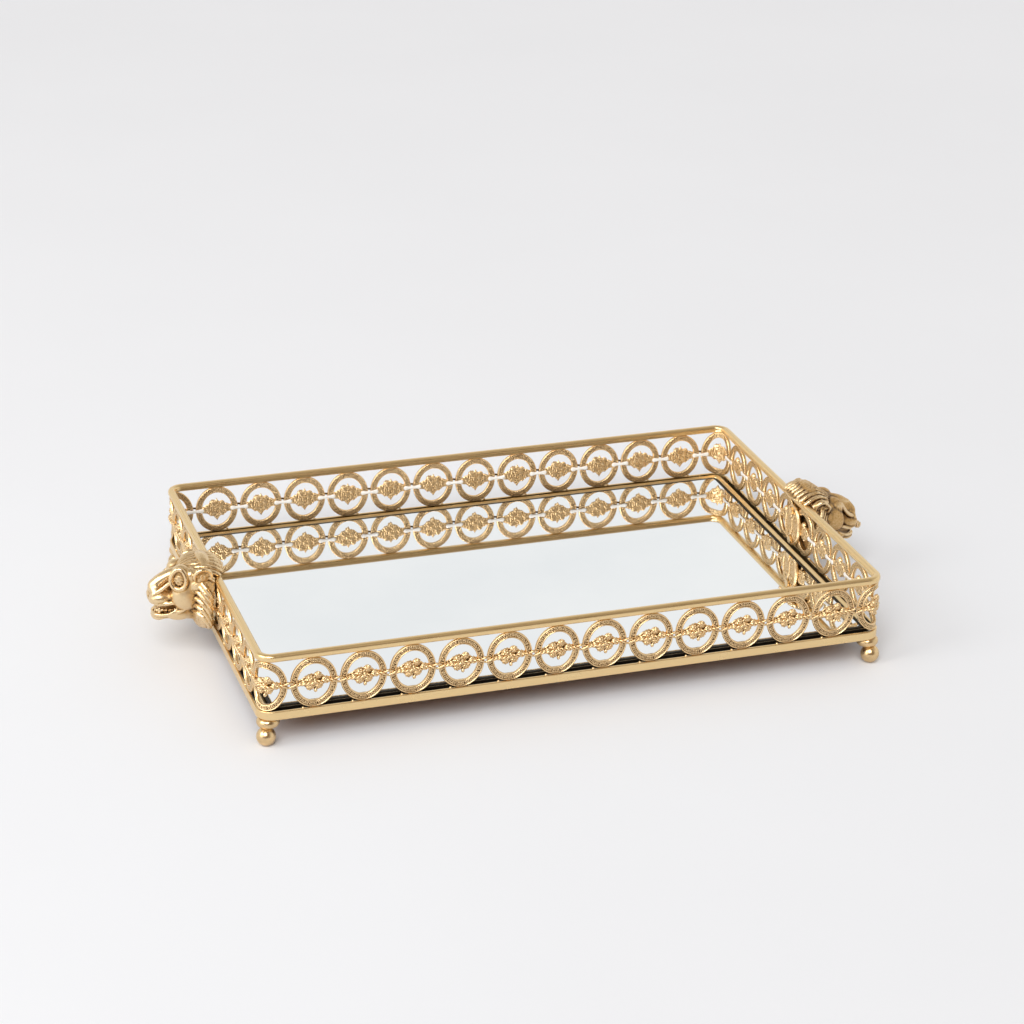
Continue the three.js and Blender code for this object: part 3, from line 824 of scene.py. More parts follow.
def granulated_ring(sizes, rng, segments=216):
    """An oval ring: outside, smooth rims with a channel of beads between them; inside, beads all over."""
    band, back = sizes.ring_band, -GALLERY_DEPTH / 2
    start, end, floor = 1.25, band - 1.15, 0.45  # the channel
    outer_rim = [(0, -0.8), (0, 0.1), (0.06, 0.7), (0.28, 1.1), (0.6, 1.25), (0.95, 1.05), (1.12, 0.5)]
    channel = [(s, floor) for s in np.linspace(start, end, 9)]
    inner_rim = [(band - s, w) for s, w in outer_rim[::-1]]
    rear = [(s, back) for s in np.linspace(band - 0.2, 0.2, 15)]
    section = np.array(outer_rim + channel + inner_rim + rear)
    front = slice(len(outer_rim), len(outer_rim) + len(channel))
    behind = slice(len(section) - len(rear), len(section))
    angle = np.linspace(0, 2 * math.pi, segments, endpoint=False)
    along, up = oval(sizes, angle[:, None], section[None, :, 0])
    out = np.broadcast_to(section[None, :, 1], along.shape).copy()
    radius = sizes.grain / 2
    beads = bead_rows(sizes, rng, (start + radius, end - radius))
    out[:, front] += beads_over(along[:, front], up[:, front], beads, radius * 0.96, 0.62)
    beads = bead_rows(sizes, rng, np.arange(0.75, band - 0.4, sizes.grain * 0.9))
    out[:, behind] -= beads_over(along[:, behind], up[:, behind], beads, radius * 0.95, 0.5)
    ring = swept(np.stack([along, up, out], axis=-1)[:, ::-1], True)
    ring.points[:, 2] += 0.03 * noise(ring.points, 0.8, 3)
    return ring


def mirrored(right):
    """An outline from its right half, top to bottom."""
    left = [(-a, u) for a, u in right[::-1]][1:-1]
    return np.array(right + left)[::-1]


LEAF_STAR = [
    (0, 9.3), (0.9, 7.6), (2.0, 6.3), (3.1, 6.9), (4.4, 7.1), (5.6, 6.2), (6.4, 4.7),
    (8.4, 4.3), (9.6, 3.4), (12, 2.8), (12, -2.2), (9.2, -2.7), (7.6, -3.0), (6.0, -4.4),
    (5.0, -5.6), (3.4, -5.2), (2.2, -6.0), (1.0, -7.6), (0, -9.4),
]
LEAF_PLAIN = [
    (0, 5.4), (3.4, 5.8), (6.2, 4.2), (8.4, 2.6), (12, 2.0), (12, -1.8), (8.0, -2.2),
    (5.6, -3.8), (3.0, -4.6), (0, -5.4),
]
BERRIES = [  # along, up, radius
    (-3.1, 2.3, 3.2), (2.7, 4.8, 2.8), (-3.0, -2.9, 2.9), (3.2, -2.4, 2.9), (0.1, 0.6, 2.3),
    (-7.0, 0.2, 2.1), (7.2, 0.9, 2.1), (-9.6, -0.1, 1.6), (9.7, 0.5, 1.6),
]
SEEDS_LARGE = ((0.0, 1, 1.85), (0.5, 5, 1.55), (0.88, 9, 0.7))  # share of the radius, count, out
SEEDS_SMALL = ((0.0, 1, 1.7), (0.7, 5, 1.0))


def rosette(rng, starred, voxel=0.34):
    """Berries on a leaf plate, each dotted like a seed head. A starred leaf is pointed."""
    back = -GALLERY_DEPTH / 2
    outline = mirrored(LEAF_STAR if starred else LEAF_PLAIN)
    leaf = swept([np.column_stack([outline, np.full(len(outline), w)]) for w in (back, -0.4)], False)
    solids = [leaf, ellipsoid((0.9, -6.3, 0.4), (1.3, 1.5, 1.2))]
    for along, up, radius in BERRIES:
        solids.append(ellipsoid((along, up, 0.0), (radius * 0.97, radius * 0.97, 1.9)))
        for share, count, out in SEEDS_LARGE if radius > 2 else SEEDS_SMALL:
            for k in range(count):
                angle = 2 * math.pi * k / count + along
                reach = radius * share
                spot = (along + reach * math.cos(angle), up + reach * math.sin(angle), out)
                solids.append(grain(spot, 0.68))
    for a in np.arange(-11.2, 11.3, 1.45):
        for u in np.arange(-8.6, 8.7, 1.4):
            spot = np.array([a, u]) + rng.uniform(-0.45, 0.45, 2)
            if inside(outline, spot * 1.06):
                size = rng.uniform(0.62, 0.86)
                solids.append(grain((*spot, back), size, size * 0.9))
    return fused(joined(solids), voxel, soften=1)


def inside(outline, spot):
    """Whether a spot is inside an outline."""
    a, b = outline, np.roll(outline, -1, axis=0)
    crosses = (a[:, 1] > spot[1]) != (b[:, 1] > spot[1])
    rise = np.where(b[:, 1] == a[:, 1], 1, b[:, 1] - a[:, 1])
    at = a[:, 0] + (spot[1] - a[:, 1]) * (b[:, 0] - a[:, 0]) / rise
    return np.count_nonzero(crosses & (spot[0] < at)) % 2 == 1


def twisted_link(sizes, half_pitch):
    """Two strands twisted together across the medallion, which part round a small eye at each end."""
    along = np.linspace(-half_pitch, half_pitch, 81)
    from_eye = half_pitch - np.abs(along)
    radius = sizes.rope_radius
    twist = np.clip(from_eye - 2.4, 0, None) * 1.05
    spread = 0.8 + 1.0 * np.clip(1 - from_eye / 2.4, 0, 1) ** 0.7
    strands = []
    for start in (0.5 * math.pi, 1.5 * math.pi):
        up = spread * np.sin(start + twist)
        out = 1.35 + 0.75 * np.cos(start + twist)
        strands.append(tube(np.column_stack([along, up, out]), radius, sides=8))
    return joined(strands)


def flat_link():
    """A stamped link with round ends that joins two medallions behind the wire."""
    back = -GALLERY_DEPTH / 2 - 0.75
    along = np.linspace(-5.2, 5.2, 25)
    swell = 1.15 + 0.7 * np.abs(along / 5.2) ** 2.5
    spine = np.column_stack([along, np.zeros(25), np.full(25, back)])
    return tube(spine, swell, sides=12, flat=0.4)


def straight_place(middle, along, out):
    return lambda p: middle + p[:, :1] * along + p[:, 1:2] * UP + p[:, 2:] * out


def bent_place(middle, facing, radius):
    """Bends a flat piece round a corner, and leaves what reaches past the corner straight."""

    def place(p):
        turn = np.clip(p[:, 0] / radius, -math.pi / 4, math.pi / 4)
        rest = p[:, 0] - turn * radius
        angle = facing + turn
        reach = radius + p[:, 2]
        x = middle[0] + reach * np.cos(angle) - rest * np.sin(angle)
        y = middle[1] + reach * np.sin(angle) + rest * np.cos(angle)
        return np.column_stack([x, y, middle[2] + p[:, 1]])

    return place


def gallery_line(sizes):
    """The gallery's middle line: its half length, half width and bend."""
    low, high = node_box("gallery_right")
    half_length = (low[0] + high[0]) / 2
    half_width = -(STRIP_LOW[1] + STRIP_HIGH[1]) / 2
    bend = sizes.corner_radius + half_length - (RAIL_HIGH[0] - sizes.rail_diameter / 2)
    return half_length, half_width, bend


def pitches(sizes):
    """Distance from medallion to medallion on a long and on a short side."""
    half_length, half_width, bend = gallery_line(sizes)
    arc = bend * math.pi / 2
    long_side = (2 * (half_length - bend) + arc) / (sizes.rings_long + 1)
    short_side = (2 * (half_width - bend) + arc) / (sizes.rings_short + 1)
    return long_side, short_side


# Lion's head: points are (out of the tray's end, to one side, up), from the rail's centreline.
MANE = ((7.5, 0, 50.5), (12, 27, 28.5))
CROWN = ((8, 0, 62.5), (20, 24, 11.4))
BROW_DROP = 4.0  # how much lower a brow lies that the light doesn't pick out
SNOUT_DROP = 6.0  # how much lower the right head carries its snout
CHIN_DROP = 3.0  # how much less its chin follows
SNOUT_REACH = 1.8  # and how much farther out
HAIR_ENDS_OUT = 20.5  # hair and mane lie behind this, the smooth face in front of it


def on_shell(shell, out, up, beyond=0.0):
    """How far to the side an egg shaped shell lies at that distance out and height."""
    centre, radii = shell
    left = 1 - ((out - centre[0]) / radii[0]) ** 2 - ((up - centre[2]) / radii[2]) ** 2
    return radii[1] * math.sqrt(max(left, 0.03)) + beyond


def over_crown(out, side, beyond=0.0):
    """The crown's height there."""
    centre, radii = CROWN
    left = 1 - ((out - centre[0]) / radii[0]) ** 2 - (side / radii[1]) ** 2
    return centre[2] + radii[2] * math.sqrt(max(left, 0.04)) + beyond


def bar(points, radius, sides=8, step=1.2, taper=0.0):
    """A bar along a smooth curve, which may thin towards its end."""
    path = smooth_path(points, step)
    t = np.linspace(0, 1, len(path))
    return tube(path, radius * np.minimum(1, 0.55 + 2.6 * t) * (1 - taper * t**2), sides=sides)


def both_sides(make):
    """A piece and its mirror image on the other side of the face."""
    return [piece for side in (1, -1) for piece in make(side)]


def head_masses(side, brow_drop):
    """The smooth masses of one half of the head."""
    return [
        ellipsoid((24.6, side * 9.6, 69.6 - brow_drop), (6.8, 6.6, 6.6)),
        ellipsoid((18.4, side * 13.6, 69.0 - 1.3 * brow_drop), (5.8, 5.6, 5.6)),
        ellipsoid((22.0, side * 12.0, 54.0), (11.0, 8.8, 12.0)),
        ellipsoid((38.0, side * 4.6, 50.4), (9.6, 7.0, 5.4)),
        ellipsoid((42.0, side * 4.8, 55.0), (3.8, 3.2, 3.6)),
        ellipsoid((26.0, side * 8.5, 39.5), (11.0, 5.6, 6.5)),
    ]


def smooth_head(rimmed):
    """Skull, brow, snout, cheeks and jaw, melted into one another."""
    solids = [
        ellipsoid((13, 0, 57), (17, 18, 17)),
        ellipsoid(*MANE),
        ellipsoid(*CROWN),
        ellipsoid((9, 0, 30), (6.5, 9.5, 9.5), tilt=14),
        ellipsoid((18, 0, 42), (12, 13, 12)),
        ellipsoid((31, 0, 37), (13.5, 9.0, 4.8)),
        ellipsoid((40.0, 0, 35.8), (5.8, 7.4, 4.4)),
        ellipsoid((43.4, 0, 56.2), (3.6, 5.6, 4.2), tilt=20),
        bar([(18, 0, 66.5), (28, 0, 65.6), (36, 0, 62.6), (42.4, 0, 58.0)], 4.9, 12),
    ]
    solids += both_sides(lambda side: head_masses(side, 0.0 if rimmed and side > 0 else BROW_DROP))
    return fused(joined(solids), 0.8, soften=6)


def eye_ring(side, half_up, half_out, raised, steps=26, up=67.4):
    """Points round an almond shaped eye that looks to the side and a little forwards."""
    turn = np.linspace(0, 2 * math.pi, steps, endpoint=False)
    forward = np.array([0.88, -0.42 * side, 0.16])
    upward = np.array([-0.16, -0.12 * side, 0.98])
    outward = np.array([0.42, 0.89 * side, 0.18])
    centre = np.array([27.0, side * 14.6, up]) + raised * outward
    width = half_out * np.cos(turn)[:, None] * (1 - 0.12 * np.sin(turn)[:, None])
    return centre + width * forward + half_up * np.sin(turn)[:, None] * upward


def eye_solids(side, rimmed):
    """A rolled rim round a granulated eye, with a narrower lid on the far side, or a plain ball and cheek."""
    if not rimmed:
        ball = ellipsoid((25.6, side * 12.8, 63.4), (5.8, 5.0, 6.2), rings=14, sides=20)
        cheek = ellipsoid((19.0, side * 15.4, 55.0), (8.0, 5.2, 8.2), rings=16, sides=22)
        return [ball, cheek]
    if side < 0:
        lid = tube(eye_ring(side, 5.4, 4.8, -1.0, up=60.4), 1.5, sides=12, closed=True)
        return [lid, ellipsoid((25.4, side * 12.4, 60.2), (4.6, 3.0, 4.8), rings=12, sides=18)]
    grains = [ellipsoid((25.2, side * 12.6, 67.2), (4.8, 1.9, 5.8), rings=12, sides=18)]
    for half, count in ((0.0, 1), (2.0, 6), (3.9, 12)):
        for spot in eye_ring(side, half, half * 0.72, 0.25 - 0.1 * half, count):
            grains.append(grain(spot, 0.9))
    return grains + [tube(eye_ring(side, 7.3, 5.6, 1.0), 1.7, sides=12, closed=True)]


UPPER_LIP = [
    (46.6, 0, 48.6), (45.2, 5, 48.0), (40.0, 9.4, 47.4),
    (33, 12.0, 48.2), (26, 14.6, 49.6), (22.6, 16.6, 47.6),
]
LOWER_LIP = [
    (44.4, 0, 38.0), (42.8, 5, 37.8), (37.4, 8.8, 38.0),
    (30.4, 11.6, 40.0), (24.6, 14.8, 43.4), (22.2, 16.4, 46.6),
]
NOSE_FOLD = [(43.6, 6.4, 54.4), (38.8, 8.2, 57.6), (34.4, 9.2, 61.4), (31.6, 10.4, 64.4)]
THROAT_LOCK = [(14.5, 8.6, 34.5), (11.5, 6.0, 28.6), (8.0, 2.4, 22.6)]
LOCK_TOPS = (66.4, 61.8, 57.0, 52.0, 46.8, 41.6)
MANE_TIP_Z = 23.0


def on_side(points, side):
    """Points given for one side of the face, on that side or the other."""
    return [(out, side * across, up) for out, across, up in points]


def face_details(side, ear_z):
    """Nostril, lips, ear and the fold beside the nose."""
    turn = np.linspace(-0.45, math.pi + 0.35, 12)
    cos, sin = np.cos(turn), np.sin(turn)
    arch = np.column_stack([11.4 + 6.0 * cos, side * (22.0 + 1.2 * sin), ear_z + 5.8 * sin])
    solids = [
        bar(on_side(UPPER_LIP, side), 1.5, 10),
        bar(on_side(LOWER_LIP, side), 1.4, 10),
        bar(on_side(NOSE_FOLD, side), 1.7, 10, taper=0.3),
        ellipsoid((42.8, side * 6.4, 53.6), (3.0, 2.3, 2.8)),
        bar(arch, 1.5, 10),
        ellipsoid((11.0, side * 20.0, ear_z), (6.4, 2.8, 5.4)),
    ]
    for k in range(9):
        angle = 0.2 + 0.34 * k
        for reach, size in ((3.6, 0.9), (1.6, 0.9)):
            spot = (11.4 + reach * math.cos(angle), side * 22.4, ear_z + 0.2 + reach * math.sin(angle))
            solids.append(grain(spot, size))
    return solids


def mane_locks(side):
    """Locks that start beside the cheek and sweep back and down to the mane's point."""
    solids = []
    for k, top in enumerate(LOCK_TOPS):
        drop = 1.0 + 0.07 * k
        row = [(18.6, top), (14.6, top + 1.9 - 0.42 * k)]
        row += [(out, top - fall * drop) for out, fall in ((10.2, 3.8), (7.0, 9.6), (6.0, 14.4))]
        points = [(out, side * on_shell(MANE, out, up, 0.5), max(up, MANE_TIP_Z)) for out, up in row]
        solids.append(bar(points, 2.0, 10, taper=0.45))
        for out, up in row[1:4]:  # grains between this lock and the next
            for lower in (2.5, 3.3):
                height = max(up - lower, MANE_TIP_Z + 1)
                spot = (out - 0.6 * lower, side * on_shell(MANE, out, height, 0.1), height)
                solids.append(grain(spot, 0.75))
    for offset in (-2.0, 0.0, 2.0):
        spread = (offset, offset, 0.8 * offset)
        points = [(out, side * (across + more), up) for (out, across, up), more in zip(THROAT_LOCK, spread)]
        solids.append(bar(points, 1.5, taper=0.2))
    return solids


def crown_strands():
    """Strands that run from the brow back over the top rail, each ending in a small roll."""
    solids = []
    count = 11
    for k in range(count):
        spread = (2 * k - count + 1) / (count - 1)
        end = 22.5 * spread
        outs = (28.5 - 9 * abs(spread) ** 1.5, 23 - 5 * abs(spread), 16, 8, 1.5, -3.0)
        shares = (0.55, 0.66, 0.8, 0.92, 1.0, 1.02)
        lift = (0.3, 1.3, 1.5, 1.5, 1.2, 0.2)
        points = [(o, end * a, over_crown(o, end * a, up)) for o, a, up in zip(outs, shares, lift)]
        solids.append(bar(points, 1.8, 10, taper=0.0))
        top = over_crown(-3.0, end)
        solids.append(ellipsoid((-3.2, end * 1.02, top - 0.9), (1.9, 1.9, 1.9), rings=8, sides=10))
        solids.append(ellipsoid((-3.0, end * 1.02, top - 3.4), (1.6, 1.7, 1.7), rings=8, sides=10))
    return solids


def behind_head():
    """The room for the rails and the gallery behind the head, and under its crest."""
    rail_top = RAIL_HIGH[2] + JOINT_GAP
    back = 3.1
    points = [(x, y, z) for x in (-60, back) for y in (-60, 60) for z in (-60, rail_top)]
    faces = [(0, 1, 3, 2), (4, 6, 7, 5), (0, 4, 5, 1), (2, 3, 7, 6), (0, 2, 6, 4), (1, 5, 7, 3)]
    return form(points, faces)


def mouth_room(side):
    """Half of the open mouth, the eye socket and a nostril, to be cut out of the smooth head."""
    return [
        ellipsoid((37.0, side * 3.4, 43.0), (15.0, 10.0, 4.8), tilt=6),
        ellipsoid((28.6, side * 17.0, 67.2), (5.2, 4.2, 6.4)),
        ellipsoid((48.4, side * 3.0, 52.6), (1.8, 1.3, 1.2)),
    ]


def teeth(side):
    """A row of teeth inside each lip, a fang at the front of each, and the tongue."""
    rows = [ellipsoid((34, side * 2.0, 40.4), (9.5, 5.0, 1.3))]
    for k in range(7):
        t = (k + 0.4) / 7
        out, across = 44.0 - 15 * t**1.5, 1.4 + 9.4 * t**0.75
        size = 1.9 if k == 2 else 1.0
        rows.append(grain((out, side * across, 46.0 + 0.6 * t), size * 0.7, size * 1.6))
        rows.append(grain((out - 1.2, side * across * 0.9, 39.6 + 2.4 * t), size * 0.7, size * 1.4))
    return rows


def lion_form(sizes, rimmed):
    """The whole head as one casting, with grain in its hair and a smooth face."""
    sockets = joined([behind_head()] + both_sides(mouth_room))
    face = fused(smooth_head(rimmed), sizes.sculpt_voxel, sockets, soften=2)
    solids = [face] + crown_strands() + both_sides(mane_locks)
    solids += both_sides(lambda side: face_details(side, 70.4 if rimmed and side > 0 else 65.0))
    solids += both_sides(lambda side: eye_solids(side, rimmed))
    if rimmed:
        solids += both_sides(teeth)
    head = fused(joined(solids), sizes.sculpt_voxel * 0.9, behind_head(), soften=1)
    p = head.points
    if not rimmed:  # this head hangs its snout lower, with its mouth nearly shut
        brow = np.clip((p[:, 0] - 12) / 8, 0, 1) * np.clip((p[:, 2] - 64) / 8, 0, 1)
        p[:, 2] -= BROW_DROP * brow
        share = np.clip((p[:, 0] - 20) / 20, 0, 1) * np.clip((70 - p[:, 2]) / 10, 0, 1)
        chin = np.clip((44 - p[:, 2]) / 5, 0, 1) * np.clip((p[:, 0] - 18) / 8, 0, 1)
        p[:, 2] -= SNOUT_DROP * share * share * (3 - 2 * share) - CHIN_DROP * chin
        p[:, 0] += SNOUT_REACH * share
    hair = np.clip((HAIR_ENDS_OUT - p[:, 0]) / 2, 0, 1)
    relief = (0.02 + 0.09 * hair) * noise(p, 0.9, 7) + 0.06 * hair * noise(p, 2.2, 8)
    return form(p + normals_of(head) * relief[:, None], head.quads, head.triangles)


def to_tray_end(side):
    """Carries a handle's form to the right end (1) or the left end (-1) of the tray, by half a turn."""
    rail = RAIL_HIGH[0] - tray_sizes().rail_diameter / 2
    return lambda p: np.column_stack([side * (rail + p[:, 0]), side * p[:, 1], p[:, 2]])


# Operators, one for each piece or group of like pieces
class TRAY_OT_rails(bpy.types.Operator):
    """Bends the top rail and the flat bottom band."""

    bl_idname = "tray.rails"
    bl_label = "Rails"

    def execute(self, context):
        sizes = tray_sizes()
        radius = sizes.rail_diameter / 2
        turn = np.linspace(0, 2 * math.pi, 40, endpoint=False)
        # A little squarer than round, as a drawn rail is
        reach = radius / (np.abs(np.cos(turn)) ** 2.5 + np.abs(np.sin(turn)) ** 2.5) ** (1 / 2.5)
        section = np.column_stack([reach * np.cos(turn), reach * np.sin(turn)])
        half = RAIL_HIGH[:2] - radius
        bar = frame_loop(section, half[0], half[1], sizes.corner_radius, RAIL_Z, 20)
        make_piece("top_rail_bar", bar, rail_material(context), ["top_rail"])
        height = BAND_HIGH[2] - BAND_LOW[2]
        section = rounded_section(1.0, height / 2, 0.55, 5)
        half = BAND_HIGH[:2] - 1.0
        middle = (BAND_HIGH[2] + BAND_LOW[2]) / 2
        band = frame_loop(section, half[0], half[1], sizes.corner_radius + radius - 1.0, middle, 20)
        make_piece("bottom_rail_band", band, rail_material(context), ["bottom_rail"])
        return {"FINISHED"}


class TRAY_OT_base(bpy.types.Operator):
    """Lays the felt, pan, board, gasket, mirror and lip inside the band."""

    bl_idname = "tray.base"
    bl_label = "Base and mirror"

    def execute(self, context):
        colours = context.scene.tray_colours
        finishes = {
            "underside_felt": (pressed_felt(colours), "felt", 20.0, 0.12),
            "base_pan": (
                black_surface("black paint on steel", colours, 0.42, 1.5, 0.25), "blackened_steel", 9.9, 0.25,
            ),
            "backing_board": (
                black_surface("black painted hardboard", colours, 0.7, 0.8, 0.5), "board", 20.0, 0.3,
            ),
            "mirror_glass": (silvered_glass(), "mirror", 2.5, 0.45),
        }
        for name, (material, slot, radius, bevel) in finishes.items():
            low, high = node_box(name)
            shape = plate(high[0], high[1], radius, low[2], high[2], bevel)
            make_piece(name + "_sheet", shape, material, [name], smooth=False)
        low, high = node_box("mirror_lip")
        width = high[0] - node_box("mirror_gasket")[1][0] - JOINT_GAP
        rise = high[2] - low[2] - 0.5
        # A bevelled strip: a steep outer face, black as painted shade, and a gilt slope down to the glass
        profile = [(0, 0.3), (0, rise - 0.4), (-0.15, rise - 0.06), (-0.35, rise), (-0.55, rise - 0.08)]
        profile += [(-width, rise - 1.5), (-width, 0.3), (-width + 0.3, 0), (-0.3, 0)]
        section = np.array(profile[::-1])
        strip = frame_loop(section, high[0], high[1], 5.0, low[2], 10)
        make_piece("mirror_lip_strip", strip, lip_finish(colours), ["mirror_lip"])
        rubber = black_surface("black rubber strip", colours, 0.5, 0.7, 0.4)
        low, high = node_box("mirror_gasket")
        width = 2.2
        crest = high[2] - 0.35
        middle = (low[2] + crest) / 2
        section = rounded_section(width / 2, (crest - low[2]) / 2, 0.5, 3)
        gasket = frame_loop(section, high[0] - width / 2, high[1] - width / 2, 2.9, middle, 8, 0.45)
        p = gasket.points
        along = np.where(np.abs(p[:, 0]) * high[1] > np.abs(p[:, 1]) * high[0], p[:, 1], p[:, 0])
        top = p[:, 2] > (low[2] + high[2]) / 2
        # Ribs are 0.5 mm apart on the real strip. They are drawn 1.8 mm apart so that they show.
        p[:, 2] += np.where(top, 0.12 * np.cos(2 * math.pi * along / 1.8) - 0.12, 0)
        make_piece("mirror_gasket_strip", gasket, rubber, ["mirror_gasket"])
        return {"FINISHED"}


class TRAY_OT_gallery(bpy.types.Operator):
    """Sets the medallions, their wire and their flat links along the four sides and round the corners."""

    bl_idname = "tray.gallery"
    bl_label = "Gallery"

    def execute(self, context):
        sizes = tray_sizes()
        rng = np.random.default_rng(11)
        ring = granulated_ring(sizes, rng)
        flowers = {starred: rosette(rng, starred) for starred in (False, True)}
        hollows_of = {starred: cavity_of(flower, 8, 0.2) for starred, flower in flowers.items()}
        ring_hollow = cavity_of(ring, 6, 0.16)
        bone = flat_link()
        long_pitch, short_pitch = pitches(sizes)
        half_length, half_width, bend = gallery_line(sizes)
        casting = casting_material(context)
        links = []

        def medallion(place, pitch, starred):
            wire = twisted_link(sizes, pitch / 2)
            parts = [(ring, ring_hollow), (flowers[starred], hollows_of[starred])]
            # The wire's strands get a darker colour the farther back they lie.
            parts.append((wire, np.clip(0.75 - 0.4 * (wire.points[:, 2] - 0.8), 0.2, 0.9)))
            forms = [moved(shape, place) for shape, _ in parts]
            return joined(forms), np.concatenate([c for _, c in parts])

        for name, (along, out) in SIDES.items():
            long_side = abs(along[0]) > 0.5
            count = sizes.rings_long if long_side else sizes.rings_short
            pitch = long_pitch if long_side else short_pitch
            reach = half_width if long_side else half_length
            shapes, hollows = [], []
            for k in range(count + 1):
                middle = out * reach + UP * GALLERY_Z
                if k < count:
                    place = straight_place(middle + along * pitch * (k - (count - 1) / 2), along, out)
                    shape, hollow = medallion(place, pitch, name == "back")
                    shapes.append(shape)
                    hollows.append(hollow)
                between = along * pitch * (k - count / 2)
                links.append(moved(bone, straight_place(middle + between, along, out)))
            make_piece(
                f"gallery_{name}_filigree",
                joined(shapes),
                casting,
                [f"gallery_{name}"],
                np.concatenate(hollows),
            )
        for name, (side_x, side_y, facing) in CORNERS.items():
            middle = np.array([side_x * (half_length - bend), side_y * (half_width - bend), GALLERY_Z])
            pitch = (long_pitch + short_pitch) / 2
            shape, hollow = medallion(bent_place(middle, facing, bend), pitch, side_y > 0)
            make_piece(
                f"corner_medallion_{name}_filigree",
                shape,
                casting,
                [f"corner_medallion_{name}"],
                hollow,
            )
        bright = white_painted_highlight(context.scene.tray_colours)
        make_piece("gallery_flat_links", joined(links), bright)
        return {"FINISHED"}


class TRAY_OT_studs(bpy.types.Operator):
    """Sets a small solder stud beside the foot of each medallion on the bottom band."""

    bl_idname = "tray.studs"
    bl_label = "Studs"

    def execute(self, context):
        sizes = tray_sizes()
        long_pitch, short_pitch = pitches(sizes)
        half_length, half_width, _ = gallery_line(sizes)
        studs = []
        for along, out in SIDES.values():
            long_side = abs(along[0]) > 0.5
            count = sizes.rings_long if long_side else sizes.rings_short
            pitch = long_pitch if long_side else short_pitch
            reach = (half_width if long_side else half_length) + 0.9
            for k in range(count):
                at = out * reach + along * (pitch * (k - (count - 1) / 2) - 8.0) + UP * (BAND_HIGH[2] + 0.3)
                studs.append(ellipsoid(at, (1.0, 1.0, 0.9), rings=8, sides=12))
        shape = joined(studs)
        crests = np.full(len(shape.points), 0.2)
        make_piece("bottom_rail_studs", shape, lion_material(context), cavity=crests)
        return {"FINISHED"}


class TRAY_OT_feet(bpy.types.Operator):
    """Turns the ball feet and their bun collars."""

    bl_idname = "tray.feet"
    bl_label = "Feet"

    def execute(self, context):
        material = polished_gilt(context.scene.tray_colours)
        for name in CORNERS:
            low, high = node_box("foot_ball_" + name)
            middle = (low + high) / 2
            radius = (high[0] - low[0]) / 2 + 0.08
            flat = 2.0
            centre = math.sqrt(radius**2 - flat**2)
            angles = np.linspace(math.asin(flat / radius), math.pi - 0.05, 28)
            profile = [(radius * math.sin(a), centre - radius * math.cos(a)) for a in angles]
            top = high[2] + JOINT_GAP / 2
            wall = [(r, min(z, top)) for r, z in profile if z < top]
            profile = [(0.02, 0.0)] + wall + [(3.2, top), (0.02, top)]
            ball = lathe(profile, 40, middle[:2])
            make_piece("foot_ball_" + name + "_turned", ball, material, ["foot_ball_" + name])
            low, high = node_box("foot_collar_" + name)
            middle = (low + high) / 2
            reach = (high[1] - low[1]) / 2
            height = high[2] - low[2]
            angles = np.linspace(-1.05, 1.2, 18)
            profile = [(0.02, low[2])]
            for a in angles:
                up = (low[2] + high[2]) / 2 + height / 2 * math.sin(a) / math.sin(1.2)
                profile.append((reach * (0.62 + 0.38 * math.cos(a)), up))
            profile[1:] = [(r, max(low[2], min(high[2], z))) for r, z in profile[1:]]
            profile.append((0.02, high[2]))
            collar = lathe(profile, 44, middle[:2])
            make_piece("foot_collar_" + name + "_bun", collar, material, ["foot_collar_" + name])
        return {"FINISHED"}


class TRAY_OT_lions(bpy.types.Operator):
    """Sculpts the two lions' heads and sets the bead at the right one's lip."""

    bl_idname = "tray.lions"
    bl_label = "Lions' heads"

    def execute(self, context):
        sizes = tray_sizes()
        material = lion_material(context)
        for name, side in (("right", 1), ("left", -1)):
            head = lion_form(sizes, name == "left")
            # Painted shade: the right head, on the side away from the lamps, is made darker all over than the
            # left one.
            painted_shade_amount = 0.02 if name == "left" else 0.15
            hollow = 0.5 * cavity_of(head, 8, 0.24) + 0.5 * cavity_of(head, 45, 1.0) + painted_shade_amount
            shape = moved(head, to_tray_end(side))
            make_piece(f"lion_head_{name}_cast", shape, material, [f"lion_head_{name}"], hollow)
        low, high = node_box("lip_bead_right")
        radius = (high[2] - low[2]) / 2
        middle = np.array([high[0] - radius, (low[1] + high[1]) / 2, (low[2] + high[2]) / 2])
        stem = [(low[0], middle[1], middle[2]), (middle[0] - radius / 2, middle[1], middle[2])]
        seeds = [ellipsoid(middle, (radius * 0.9,) * 3, rings=12, sides=18), bar(stem, 0.9)]
        for k in range(26):
            height = 1 - 2 * (k + 0.5) / 26
            around = k * 2.39996
            reach = math.sqrt(1 - height**2)
            way = np.array([reach * math.cos(around), reach * math.sin(around), height])
            seeds.append(ellipsoid(middle + way * radius * 0.84, (radius * 0.25,) * 3, rings=8, sides=10))
        bead = fused(joined(seeds), 0.28, soften=1)
        hollow = cavity_of(bead, 6, 0.2)
        make_piece("lip_bead_right_cast", bead, material, ["lip_bead_right"], hollow)
        return {"FINISHED"}


